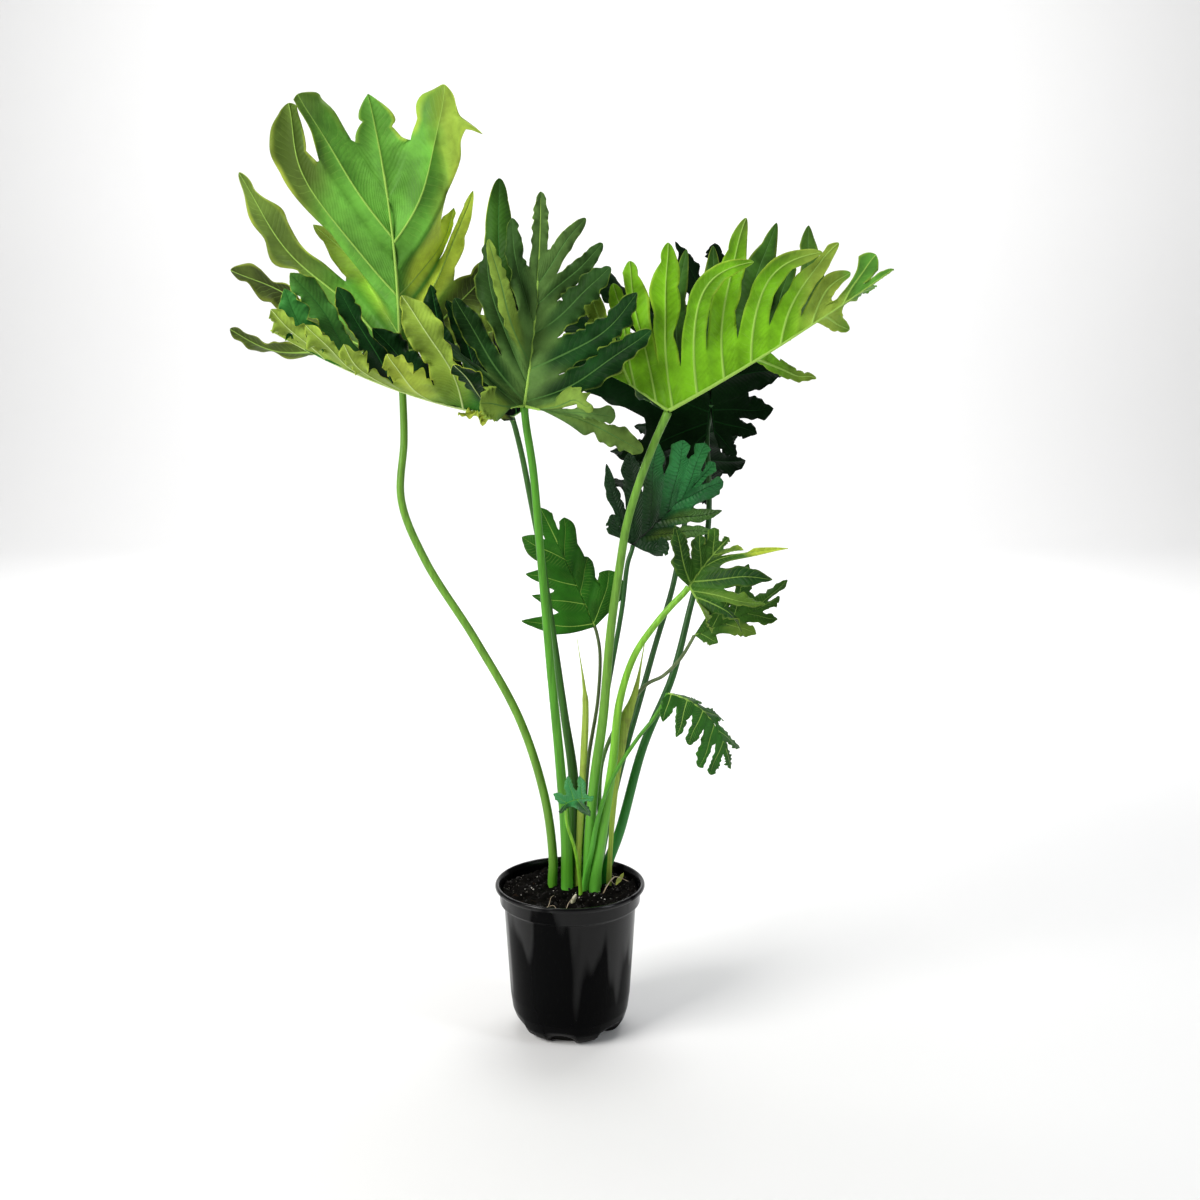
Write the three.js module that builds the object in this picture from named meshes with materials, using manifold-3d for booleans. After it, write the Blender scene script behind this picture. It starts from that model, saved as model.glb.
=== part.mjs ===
// A lacy tree philodendron in a black nursery pot, in millimetres, +Z up.
// The origin is the middle of the pot's underside. The plant is seen from -Y.
import * as THREE from 'three';
import { mergeVertices } from 'three/addons/utils/BufferGeometryUtils.js';
import Module from 'manifold-3d';

const wasm = await Module();
wasm.setup();

// Pot and soil
const POT_HEIGHT = 205;
const RIM_RADIUS = 100;
const COLLAR_RADIUS = 94;
const COLLAR_DEPTH = 26;
const BODY_TOP_RADIUS = 88;
const BODY_FOOT_RADIUS = 79;
const FLAT_FOOT_RADIUS = 50;
const WALL = 1.8;
const NOTCH_COUNT = 6;
const NOTCH_HEIGHT = 8;
const NOTCH_HALF_ANGLE = THREE.MathUtils.degToRad(17);
const FIRST_NOTCH = THREE.MathUtils.degToRad(-100);
const DRAIN_RADIUS = 4.5;
const DRAIN_AT = 57;
const POT_FACETS = 48;
const SOIL_TOP = 192;
const SOIL_LUMPS = 2.2;
const SOIL_RINGS = [78, 52, 26, 0];

// Fits between the pieces
const GAP = 0.3;
const BURIED = 28;
const SLOT = 5;
const RIB_SAMPLES = 24;

// Leaf blades
const BLADE = 1.0;
const LEAST_LEAN = 0.3;
const RIB_RELIEF = 1.6;
const LOBE_RIB_RELIEF = 0.7;
const RIGHT = 1;
const LEFT = -1;

// How finely a blade is divided: rows before and after the notch between lobes,
// and columns from a lobe's rib to its edge
const FULL = { web: 2, free: 4, across: 2 };
const LIGHT = { web: 1, free: 4, across: 1 };
const TINY = { web: 1, free: 3, across: 1 };

const POT_BLACK = { color: 0x0b0c0d, roughness: 0.28, metalness: 0 };
const SOIL_BLACK = { color: 0x17130f, roughness: 1, metalness: 0 };
const leafGreen = (color, roughness = 0.5) => ({ color, roughness, metalness: 0 });

const vec = ([x, y, z]) => new THREE.Vector3(x, y, z);
const between = (a, b, share) => a.clone().lerp(b, share);
const middle = (a, b) => between(a, b, 0.5);
const evenSteps = (count) => Array.from({ length: count + 1 }, (_, n) => n / count);

// A stalk ends below its blade's attachment by seat, so that it just clears the ribs.
// A lobe leaves the spine at a place (0 to 1 along the midrib, 0 to -1 along the
// basal rib of its side) and ends at a tip, given from the leaf's attachment.
const lobe = (at, tip, width, more = {}) => ({ at, tip, width, ...more });

const STYLE = {
  sinus: 0.4, point: 2.2, taper: 0.8, belly: 0.25, bulge: 0.08, curl: 0,
  ruffle: 0.25, waves: 2, arch: 0.04, roll: 0, start: 0,
};

const LEAVES = {
  tall_left: {
    color: 0x5d9a32,
    stalk: { radius: 6, points: [[-24, 18, 200], [-23, 20, 227], [-33, 22, 311], [-66, 25, 420],
      [-124, 30, 528], [-189, 38, 633], [-219, 45, 711], [-215, 55, 788], [-216, 60, 850]] },
    seat: 1.1,
    attach: [-218, 60, 905], tip: [-35, 15, 315], bow: [15, 20, 0],
    ears: { right: [-60, 30, -5], left: [50, 45, -5] },
    tipWidth: 104, tipSinus: 0.42, detail: FULL,
    style: { sinus: 0.62, belly: 0.1, ruffle: 0.08, point: 1.7 },
    right: [
      lobe(-0.9, [-225, 30, 20], 45, { bow: [0, 0, -30] }),
      lobe(-0.6, [-224, 60, 108], 48, { bow: [10, 10, -25] }),
      lobe(-0.25, [-215, 40, 215], 48, { bow: [15, 20, -35] }),
      lobe(0.05, [-122, 100, 163], 44, { bow: [10, 20, 0], ruffle: 0, sinus: 0.5 }),
      lobe(0.21, [-145, 5, 300], 52, { bow: [-20, 15, -20], ruffle: 0.04, sinus: 0.5 }),
      lobe(0.44, [-123, -10, 315], 80, { bow: [-15, 10, 10], sinus: 0.72 }),
    ],
    left: [
      lobe(-0.85, [148, 99, 30], 45),
      lobe(-0.4, [125, 115, 120], 45),
      lobe(0.07, [89, 82, 206], 40, { bow: [20, 20, -20] }),
      lobe(0.21, [66, 80, 180], 36, { bow: [20, 30, 0], ruffle: 0 }),
      lobe(0.42, [71, -28, 322], 104, { bow: [25, 5, -10], sinus: 0.72 }),
    ],
  },
  low_left: {
    color: 0x3f7a34,
    stalk: { radius: 4.5, points: [[8, 24, 200], [6, 24, 260], [4, 26, 345], [-7, 28, 425],
      [-21, 32, 530], [-36, 34, 635], [-51, 30, 720], [-60, 24, 770], [-68, 18, 806]] },
    seat: 2.4,
    attach: [-72, 15, 820], tip: [-290, -60, 110], bow: [0, 0, -35],
    ears: { right: [25, 40, 15], left: [4, -20, -2] },
    tipWidth: 50, tipSinus: 0.3, detail: FULL,
    style: { sinus: 0.35, ruffle: 0.2, waves: 2.5 },
    left: [
      lobe(-0.8, [-62, -80, 8], 30),
      lobe(0.05, [-58, -92, 72], 34, { bow: [-10, -10, 0] }),
      lobe(0.21, [-118, -115, 142], 46, { bow: [15, -25, 10] }),
      lobe(0.42, [-130, -110, 62], 40, { bow: [-10, -25, 0] }),
      lobe(0.6, [-225, -120, 95], 40, { bow: [0, -25, 0] }),
      lobe(0.78, [-280, -105, 135], 40, { bow: [0, -20, 0] }),
    ],
    right: [
      lobe(-0.7, [50, 120, 150], 40),
      lobe(-0.2, [-20, 60, 295], 36, { bow: [0, 30, 0] }),
      lobe(0.15, [-80, 45, 185], 42, { bow: [0, 25, 0] }),
      lobe(0.32, [-112, 35, 172], 40, { bow: [0, 30, 0] }),
      lobe(0.5, [-170, 30, 150], 40, { bow: [0, 25, 0] }),
      lobe(0.66, [-235, -5, 180], 40, { bow: [0, 20, 0] }),
      lobe(0.82, [-272, -40, 175], 34),
    ],
  },
  centre: {
    color: 0x2d5a30,
    stalk: { radius: 6, points: [[-4, 6, 200], [-5, 4, 260], [-13, 0, 373], [-25, -8, 510],
      [-35, -18, 642], [-44, -26, 758], [-52, -32, 815]] },
    seat: 2.3,
    attach: [-54, -35, 838], tip: [20, 65, 262], bow: [10, -15, 0],
    ears: { right: [20, -35, -2], left: [-15, -28, 0] },
    tipWidth: 27, tipSinus: 0.5, detail: FULL,
    style: { sinus: 0.4, point: 2.6, taper: 0.6, belly: 0.1, ruffle: 0.2, waves: 3, curl: -0.1 },
    right: [
      lobe(-0.95, [88, -75, 32], 34, { bow: [0, -15, -20] }),
      lobe(-0.45, [145, -30, -52], 30, { bow: [10, -20, 20] }),
      lobe(0.02, [155, -60, 98], 30, { bow: [15, -10, -25] }),
      lobe(0.17, [140, -35, 138], 30, { bow: [15, -5, -20] }),
      lobe(0.33, [105, 5, 172], 28, { bow: [10, 0, -10] }),
      lobe(0.46, [98, 45, 197], 26),
      lobe(0.56, [76, 55, 232], 26),
    ],
    left: [
      lobe(-0.9, [-42, -50, 20], 24, { ruffle: 0 }),
      lobe(0.02, [-46, 10, 200], 34, { bow: [-18, -10, 0] }),
      lobe(0.17, [-32, -20, 212], 24, { bow: [-12, -10, 0] }),
      lobe(0.37, [-16, 35, 230], 26, { bow: [-10, 0, 0] }),
    ],
  },
  right: {
    color: 0x76b52c,
    stalk: { radius: 6.2, points: [[24, 14, 200], [26, 14, 260], [33, 10, 345], [44, 2, 430],
      [54, -10, 550], [66, -22, 640], [74, -30, 690], [88, -38, 740], [108, -45, 795]] },
    seat: 1.1,
    attach: [124, -50, 832], tip: [275, 20, 172], bow: [0, 0, -12],
    ears: { right: [-48, 10, 32], left: [-28, 55, 12] },
    tipWidth: 30, tipSinus: 0.2, detail: FULL,
    style: { sinus: 0.24, point: 2.4, taper: 0.7, belly: 0.15, ruffle: 0.1, curl: -0.06 },
    right: [
      lobe(-0.85, [-66, 45, 155], 30),
      lobe(-0.3, [-50, 40, 182], 36),
      lobe(0.03, [-5, 5, 202], 40, { bow: [-5, -5, 0] }),
      lobe(0.14, [98, -25, 184], 40, { bow: [-28, -10, 30] }),
      lobe(0.26, [96, 10, 229], 40, { bow: [-15, -15, 0] }),
      lobe(0.38, [184, -5, 194], 38, { bow: [-25, -10, 15] }),
      lobe(0.5, [212, 10, 200], 38, { bow: [-20, -10, 10] }),
      lobe(0.64, [220, 20, 158], 32, { bow: [-10, 0, 5] }),
      lobe(0.76, [242, 10, 198], 26, { bow: [-5, 0, -5] }),
    ],
    left: [
      lobe(-0.7, [-60, 140, 95], 36),
      lobe(0.03, [23, 125, 200], 32, { bow: [0, 35, -30] }),
      lobe(0.16, [66, 140, 203], 34, { bow: [0, 40, -35] }),
      lobe(0.28, [148, 135, 234], 36, { bow: [0, 40, -40] }),
      lobe(0.4, [192, 65, 28], 30, { bow: [-5, 30, 10], sinus: 0.15 }),
      lobe(0.54, [184, 115, 228], 32, { bow: [10, 45, -35] }),
      lobe(0.68, [234, 85, 97], 30, { bow: [0, 20, 0] }),
      lobe(0.82, [264, 85, 150], 22, { bow: [0, 10, 0] }),
    ],
  },
  shaded: {
    color: 0x142418,
    stalk: { radius: 4.5, points: [[45, 30, 200], [67, 32, 265], [98, 48, 377], [137, 68, 468],
      [161, 86, 558], [184, 110, 649], [188, 126, 702], [185, 142, 792], [188, 138, 812]] },
    seat: 7.3,
    attach: [189, 130, 830], tip: [10, 105, 215], bow: [0, 30, 0],
    ears: { right: [4, -14, -40], left: [-6, -14, -44] },
    tipWidth: 46, tipSinus: 0.3, detail: LIGHT,
    style: { sinus: 0.5, belly: 0.15 },
    right: [
      lobe(-0.85, [34, -12, -68], 26),
      lobe(-0.55, [62, -8, -38], 28),
      lobe(-0.2, [85, 10, -8], 38),
      lobe(0.15, [105, 45, 42], 46),
      lobe(0.4, [90, 80, 135], 48),
      lobe(0.6, [80, 120, 150], 34),
    ],
    left: [
      lobe(-0.85, [-62, -12, -88], 30),
      lobe(-0.55, [-122, -6, -72], 34),
      lobe(-0.25, [-145, 20, -25], 42),
      lobe(0.05, [-130, 50, 50], 50),
      lobe(0.3, [-95, 65, 140], 48),
      lobe(0.52, [-46, 75, 216], 36, { sinus: 0.35 }),
    ],
  },
  rear: {
    color: 0x16291a,
    stalk: { radius: 4.5, points: [[38, 46, 200], [46, 50, 250], [67, 70, 338], [99, 108, 442],
      [117, 130, 501], [141, 152, 578], [155, 165, 650], [162, 172, 690]] },
    seat: 4.0,
    attach: [165, 175, 705], tip: [40, 210, 110], bow: [0, 20, 50],
    ears: { right: [6, -30, -6], left: [-10, -38, -6] },
    tipWidth: 50, tipSinus: 0.3, detail: LIGHT,
    style: { sinus: 0.45 },
    right: [
      lobe(-0.8, [82, -34, -20], 20),
      lobe(-0.1, [120, 10, 10], 40),
      lobe(0.2, [130, 90, 35], 44),
      lobe(0.45, [120, 165, 70], 42),
      lobe(0.7, [98, 215, 95], 38),
    ],
    left: [
      lobe(-0.8, [-50, -60, -20], 40),
      lobe(-0.1, [-115, 0, 15], 46),
      lobe(0.2, [-110, 90, 50], 44),
      lobe(0.45, [-75, 165, 80], 42),
      lobe(0.7, [-30, 215, 100], 38),
    ],
  },
  small_left: {
    color: 0x3f7a38,
    stalk: { radius: 2.8, points: [[13, 39, 200], [17, 42, 260], [24, 56, 355], [37, 65, 437],
      [40, 69, 500], [36, 70, 527]] },
    seat: 0.8,
    attach: [33, 70, 537], tip: [-72, 5, 160], bow: [5, 5, -5],
    tipWidth: 44, tipSinus: 0.25, detail: LIGHT,
    style: { sinus: 0.6, belly: 0.05, ruffle: 0.08 },
    left: [
      lobe(0.03, [-98, -10, 14], 34, { bow: [0, 0, -12] }),
      lobe(0.2, [-84, -2, 49], 28),
      lobe(0.36, [-97, 5, 76], 32),
      lobe(0.55, [-98, 5, 125], 30),
    ],
    right: [
      lobe(0.03, [24, 15, 66], 38, { bow: [5, 0, 0], ruffle: 0 }),
      lobe(0.3, [-3, 19, 103], 26, { ruffle: 0 }),
      lobe(0.6, [-39, 18, 147], 32),
    ],
  },
  mid_right: {
    color: 0x22502f,
    stalk: { radius: 3.8, points: [[27, 32, 200], [29, 34, 260], [34, 40, 330], [48, 54, 440],
      [69, 60, 562], [77, 65, 625], [82, 69, 640]] },
    seat: 1.2,
    attach: [84, 70, 648], tip: [105, 15, 112], bow: [0, -5, -5],
    ears: { right: [30, -20, -12], left: [-18, -5, 10] },
    tipWidth: 34, tipSinus: 0.3, detail: LIGHT,
    style: { sinus: 0.5, ruffle: 0.15 },
    right: [
      lobe(-0.7, [45, -36, 3], 26),
      lobe(0.12, [88, -28, 13], 30),
      lobe(0.3, [122, -14, 24], 20),
      lobe(0.5, [121, 2, 44], 22),
      lobe(0.72, [122, 17, 84], 26),
    ],
    left: [
      lobe(-0.7, [-32, -8, 48], 34),
      lobe(0.02, [-34, 9, 110], 28),
      lobe(0.2, [-11, 7, 129], 30),
      lobe(0.42, [34, 5, 132], 34),
      lobe(0.66, [76, 8, 134], 26),
    ],
  },
  pale_right: {
    color: 0x4f8f38,
    stalk: { radius: 5, points: [[33, 0, 200], [45, 0, 287], [57, 2, 370], [66, 2, 453],
      [85, 0, 514], [111, -5, 555], [133, -8, 582], [147, -10, 597]] },
    seat: 2.2,
    attach: [154, -10, 606], tip: [68, -5, 55], bow: [0, 5, 5],
    ears: { right: [10, -25, -15] },
    tipWidth: 26, tipSinus: 0.3, detail: LIGHT,
    style: { sinus: 0.4, ruffle: 0.2 },
    right: [
      lobe(-0.8, [60, -60, -48], 26),
      lobe(0.1, [105, -50, -5], 28),
      lobe(0.35, [102, -42, 22], 26),
      lobe(0.6, [122, -22, 50], 20),
    ],
    left: [
      lobe(0.06, [-26, -25, 36], 26),
      lobe(0.3, [-20, -5, 72], 28),
      lobe(0.6, [48, 12, 68], 26),
    ],
  },
  under_right: {
    color: 0x3a7434,
    stalk: { radius: 2.8, points: [[39, 16, 200], [39, 22, 280], [43, 31, 361], [67, 31, 420],
      [101, 26, 468], [123, 22, 481], [145, 17, 505], [158, 12, 528]] },
    seat: 1.8,
    attach: [163, 11, 538], tip: [112, 15, 48], bow: [0, 5, -8],
    tipWidth: 24, tipSinus: 0.3, detail: TINY,
    style: { sinus: 0.4, ruffle: 0.15 },
    right: [
      lobe(0.06, [30, -12, -8], 18, { ruffle: 0 }),
      lobe(0.36, [80, -8, 4], 22),
      lobe(0.62, [108, 2, 20], 18),
    ],
    left: [
      lobe(0.2, [50, 30, 50], 26),
      lobe(0.45, [71, 34, 89], 24),
      lobe(0.7, [124, 32, 67], 20),
    ],
  },
  drooping: {
    color: 0x35793a,
    stalk: { radius: 3, points: [[19, -1, 200], [29, -7, 250], [36, -8, 289], [54, -10, 346],
      [87, -14, 403], [110, -17, 434], [122, -19, 455]] },
    seat: 5.5,
    attach: [128, -20, 468], tip: [82, -5, -100], bow: [25, 0, 35],
    tipWidth: 22, tipSinus: 0.25, detail: LIGHT,
    style: { sinus: 0.3, ruffle: 0.06, belly: 0.15 },
    right: [
      lobe(0.03, [-8, -22, -32], 18),
      lobe(0.2, [10, -32, -50], 18),
      lobe(0.4, [26, -36, -58], 18),
      lobe(0.58, [42, -32, -92], 18),
      lobe(0.76, [52, -34, -100], 16),
    ],
    left: [
      lobe(0.15, [45, 30, -20], 20),
      lobe(0.4, [75, 35, -45], 20),
      lobe(0.65, [97, 38, -85], 18),
    ],
  },
  young: {
    color: 0x3d8a34,
    stalk: { radius: 2.3, points: [[14, -12, 200], [8, -28, 256], [-3, -42, 300], [-4, -47, 320]] },
    seat: 2.4,
    attach: [-4, -48, 328], tip: [36, -10, 10], bow: [0, 0, 6],
    tipWidth: 16, tipSinus: 0.3, detail: TINY,
    style: { sinus: 0.35, ruffle: 0.1 },
    right: [
      lobe(0.05, [-6, -22, -6], 12),
      lobe(0.4, [32, -25, -8], 12),
    ],
    left: [
      lobe(0.05, [-16, 6, 12], 12),
      lobe(0.3, [2, 4, 36], 14),
      lobe(0.6, [18, 6, 36], 12),
    ],
  },
};

// Papery sheaths that stand among the stalks: points along the middle, and a width
const SHEATHS = {
  sheath_left: { width: 8, points: [[10, 10, 200], [16, 12, 330], [21, 13, 441], [19, 12, 470],
    [10, 9, 535]] },
  sheath_right: { width: 9, points: [[52, 18, 200], [60, 17, 330], [71, 17, 414], [86, 17, 459],
    [98, 16, 524]] },
};

// A rib from root to tip, arched by bow at its middle
function ribCurve(root, tip, bow) {
  const curve = new THREE.QuadraticBezierCurve3(root, middle(root, tip).add(bow), tip);
  return {
    at: (share) => curve.getPoint(share),
    along: (share) => curve.getTangent(share).normalize(),
  };
}

// The spine of one half of a blade: the basal rib, entered backwards, then the midrib
function spineOf(midrib, attach, ear) {
  const basal = ear && ribCurve(attach, attach.clone().add(vec(ear)), new THREE.Vector3());
  return {
    first: ear ? -1 : 0,
    at: (place) => (place < 0 ? basal.at(-place) : midrib.at(place)),
    along: (place) => (place < 0 ? basal.along(-place).negate() : midrib.along(place)),
  };
}

// A frame on a rib: across lies in the blade towards the leaf's tip, up is the upper side
function frameOn(along, forward, side, roll) {
  const across = forward.clone().addScaledVector(along, -forward.dot(along)).normalize();
  across.applyAxisAngle(along, roll * side);
  const up = new THREE.Vector3().crossVectors(along, across).multiplyScalar(side);
  return { across, up };
}

// Half the width of a lobe at a share of its free length
function halfWidth(width, style, free) {
  const belly = 1 + style.belly * Math.sin(Math.PI * free);
  return 0.5 * width * belly * (1 - free ** style.point) ** style.taper;
}

// Half the room between a point and the nearest point of the next lobe's rib
function roomTo(point, rib) {
  const near = evenSteps(RIB_SAMPLES).map((share) => point.distanceTo(rib.at(share)));
  return Math.min(...near) / 2 - SLOT / 2;
}

const freeShare = (share, sinus) => Math.max(0, (share - sinus) / (1 - sinus));

// How far the blade stands off the flat between a rib (0) and the edge (1), per unit of
// the distance between them
function liftOff(style, share, free, out, phase) {
  const loose = Math.sin(Math.min(1, free * 3) * Math.PI / 2);
  const ruffle = style.ruffle * Math.sin(2 * Math.PI * style.waves * share + phase);
  return style.bulge * out * (1 - out) * 4 + loose * out * out * (style.curl + ruffle);
}

// A side lobe as a rib, its frames and its edge points
function sideLobe(leaf, spine, attach, side, spec, number) {
  const style = { ...STYLE, ...leaf.style, ...spec };
  const root = spine.at(spec.at);
  const tip = attach.clone().add(vec(spec.tip));
  const forward = spine.along(spec.at);
  const start = frameOn(tip.clone().sub(root).normalize(), forward, side, 0);
  const bow = vec(spec.bow ?? [0, 0, 0]);
  bow.addScaledVector(start.up, style.arch * root.distanceTo(tip));
  const rib = ribCurve(root, tip, bow);
  const frame = (share) => frameOn(rib.along(share), forward, side, style.roll * share);
  const part = { at: spec.at, width: spec.width, style, rib, frame };
  part.phase = style.start + number * 1.7;
  part.edge = (share, way) => {
    const next = way < 0 ? part.before : part.after;
    const room = next ? roomTo(rib.at(share), next.rib) : Infinity;
    const reach = Math.min(room, halfWidth(spec.width, style, freeShare(share, style.sinus)));
    return rib.at(share).addScaledVector(frame(share).across, way * reach);
  };
  return part;
}

// The last stretch of the midrib as a lobe of its own, seen from one side of the leaf
function endLobe(leaf, midrib, side, from, face) {
  const style = { ...STYLE, ...leaf.style, sinus: leaf.tipSinus };
  const rib = {
    at: (share) => midrib.at(from + (1 - from) * share),
    along: (share) => midrib.along(from + (1 - from) * share),
  };
  const frame = (share) => {
    const along = rib.along(share);
    const across = new THREE.Vector3().crossVectors(along, face).normalize();
    return { across: across.clone().multiplyScalar(side), up: across.clone().cross(along) };
  };
  const part = { width: leaf.tipWidth, style, rib, frame, phase: style.start + side };
  part.edge = (share) => {
    const room = roomTo(rib.at(share), part.before.rib);
    const reach = Math.min(room, halfWidth(leaf.tipWidth, style, freeShare(share, style.sinus)));
    return rib.at(share).addScaledVector(frame(share).across, reach);
  };
  return part;
}

// The line from the spine to the bottom of the notch that two lobes share
function webLine(start, before, after) {
  const ends = [];
  const ribs = [];
  if (before) {
    ends.push(before.edge(before.style.sinus, 1));
    ribs.push((share) => before.rib.at(share * before.style.sinus));
  }
  if (after) {
    ends.push(after.edge(after.style.sinus, -1));
    ribs.push((share) => after.rib.at(share * after.style.sinus));
  }
  const end = middle(ends[0], ends[ends.length - 1]);
  const course = (share) => middle(ribs[0](share), ribs[ribs.length - 1](share));
  const startShift = start.clone().sub(course(0));
  const endShift = end.clone().sub(course(1));
  return (share) => course(share).add(between(startShift, endShift, share));
}

// A point of a lobe: out runs from the rib (0) to the edge (1) on one of its two sides
function lobePoint(part, web, way, out, row, detail) {
  const { sinus } = part.style;
  const inWeb = row <= detail.web;
  const free = inWeb ? 0 : Math.sin(0.5 * Math.PI * (row - detail.web) / detail.free);
  const share = inWeb ? sinus * row / detail.web : sinus + (1 - sinus) * free;
  let border = web(Math.min(1, row / detail.web));
  if (!inWeb) {
    const stray = web(1).sub(part.edge(sinus, way));
    border = part.edge(share, way).addScaledVector(stray, (1 - free) ** 3);
  }
  const rib = part.rib.at(share);
  const lift = rib.distanceTo(border) * liftOff(part.style, share, free, out, part.phase + way);
  const point = between(rib, border, out);
  return { share, point: point.addScaledVector(part.frame(share).up, lift) };
}

// A sheet of points and triangles in which equal points are one
class Sheet {
  constructor() {
    this.points = [];
    this.relief = [];
    this.triangles = [];
    this.sides = [];
    this.known = new Map();
  }

  add(point, relief = 0) {
    const key = point.toArray().map((value) => Math.round(value * 200)).join();
    if (!this.known.has(key)) {
      this.known.set(key, this.points.length);
      this.points.push(point);
      this.relief.push(relief);
    }
    return this.known.get(key);
  }

  face(a, b, c, side) {
    if (a === b || b === c || c === a) {
      return;
    }
    this.triangles.push(side === RIGHT ? [a, b, c] : [a, c, b]);
    this.sides.push(side);
  }

  // Rows run outward and each row runs forward
  grid(rows, side) {
    for (let row = 0; row + 1 < rows.length; row += 1) {
      for (let n = 0; n + 1 < rows[row].length; n += 1) {
        this.face(rows[row][n], rows[row + 1][n], rows[row + 1][n + 1], side);
        this.face(rows[row][n], rows[row + 1][n + 1], rows[row][n + 1], side);
      }
    }
  }

  // Joins the spine's points to the first row of a lobe, each with its place on the spine
  zip(spine, ring, side) {
    let i = 0;
    let j = 0;
    while (i + 1 < spine.length || j + 1 < ring.length) {
      const nextSpine = spine[i + 1]?.place ?? Infinity;
      const nextRing = ring[j + 1]?.place ?? Infinity;
      if (nextSpine <= nextRing) {
        this.face(spine[i].id, ring[j].id, spine[i + 1].id, side);
        i += 1;
      } else {
        this.face(spine[i].id, ring[j].id, ring[j + 1].id, side);
        j += 1;
      }
    }
  }
}

// The lobes of one half, the places between them on the spine, and their web lines
function layOutHalf(leaf, midrib, attach, side) {
  const name = side === RIGHT ? 'right' : 'left';
  const spine = spineOf(midrib, attach, leaf.ears?.[name]);
  const parts = leaf[name].map((spec, n) => sideLobe(leaf, spine, attach, side, spec, n));
  const last = parts[parts.length - 1].at;
  const bounds = [spine.first];
  parts.slice(1).forEach((part, n) => {
    const before = parts[n].at;
    bounds.push(before < 0 && part.at >= 0 ? 0 : (before + part.at) / 2);
  });
  bounds.push(last + 0.3 * (1 - last));
  const face = parts[parts.length - 1].frame(0).up;
  const end = endLobe(leaf, midrib, side, bounds[bounds.length - 1], face);
  [...parts, end].forEach((part, n, all) => {
    part.before = all[n - 1];
    part.after = all[n + 1];
  });
  const webs = bounds.map((place, n) => webLine(spine.at(place), parts[n - 1], parts[n] ?? end));
  return { side, spine, parts, bounds, webs, end };
}

// The places on the spine where a half needs a point
function placesOf(half, detail) {
  const from = half.bounds[half.bounds.length - 1];
  const places = [...half.bounds, ...half.parts.map((part) => part.at)];
  for (let row = 1; row <= detail.web + detail.free; row += 1) {
    const { sinus } = half.end.style;
    const free = Math.sin(0.5 * Math.PI * (row - detail.web) / detail.free);
    const share = row <= detail.web ? sinus * row / detail.web : sinus + (1 - sinus) * free;
    places.push(from + (1 - from) * share);
  }
  return places;
}

function spinePoints(sheet, half, places, from, to) {
  const inside = places.filter((place) => place >= from - 1e-9 && place <= to + 1e-9);
  return inside.map((place) => {
    const relief = RIB_RELIEF * (1 - Math.min(1, Math.abs(place)));
    return { place, id: sheet.add(half.spine.at(place), relief) };
  });
}

function addHalf(sheet, half, places, detail) {
  const { side, parts, bounds, webs, end } = half;
  const rowCount = detail.web + detail.free;
  parts.forEach((part, n) => {
    const rows = [];
    for (let row = 1; row <= rowCount; row += 1) {
      const line = [];
      for (let column = -detail.across; column <= detail.across; column += 1) {
        const way = column < 0 ? -1 : 1;
        const web = column < 0 ? webs[n] : webs[n + 1];
        const out = Math.abs(column) / detail.across;
        const { point, share } = lobePoint(part, web, way, out, row, detail);
        const relief = column === 0 ? LOBE_RIB_RELIEF * (1 - share) : 0;
        const bound = column < 0 ? bounds[n] : bounds[n + 1];
        const place = part.at + (bound - part.at) * out;
        line.push({ place, id: sheet.add(point, relief) });
      }
      rows.push(line);
    }
    sheet.zip(spinePoints(sheet, half, places, bounds[n], bounds[n + 1]), rows[0], side);
    sheet.grid(rows.map((line) => line.map(({ id }) => id)), side);
  });
  const from = bounds[bounds.length - 1];
  const web = webs[webs.length - 1];
  const columns = [];
  for (let column = 1; column <= detail.across; column += 1) {
    const line = [];
    for (let row = 0; row <= rowCount; row += 1) {
      const { point, share } = lobePoint(end, web, 1, column / detail.across, row, detail);
      line.push({ place: from + (1 - from) * share, id: sheet.add(point) });
    }
    columns.push(line);
  }
  sheet.zip(spinePoints(sheet, half, places, from, 1), columns[0], side);
  sheet.grid(columns.map((line) => line.map(({ id }) => id)), side);
}

// The direction that a sheet faces at each point. On the midrib, where the two halves
// meet in a fold, both halves count alike.
function facings(sheet, faces) {
  const ofSide = () => sheet.points.map(() => new THREE.Vector3());
  const sums = { [RIGHT]: ofSide(), [LEFT]: ofSide() };
  sheet.triangles.forEach((corners, n) => {
    corners.forEach((corner) => sums[sheet.sides[n]][corner].add(faces[n]));
  });
  return sheet.points.map((point, n) => {
    const halves = [sums[RIGHT][n].normalize(), sums[LEFT][n].normalize()];
    return halves[0].clone().add(halves[1]).normalize();
  });
}

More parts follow.
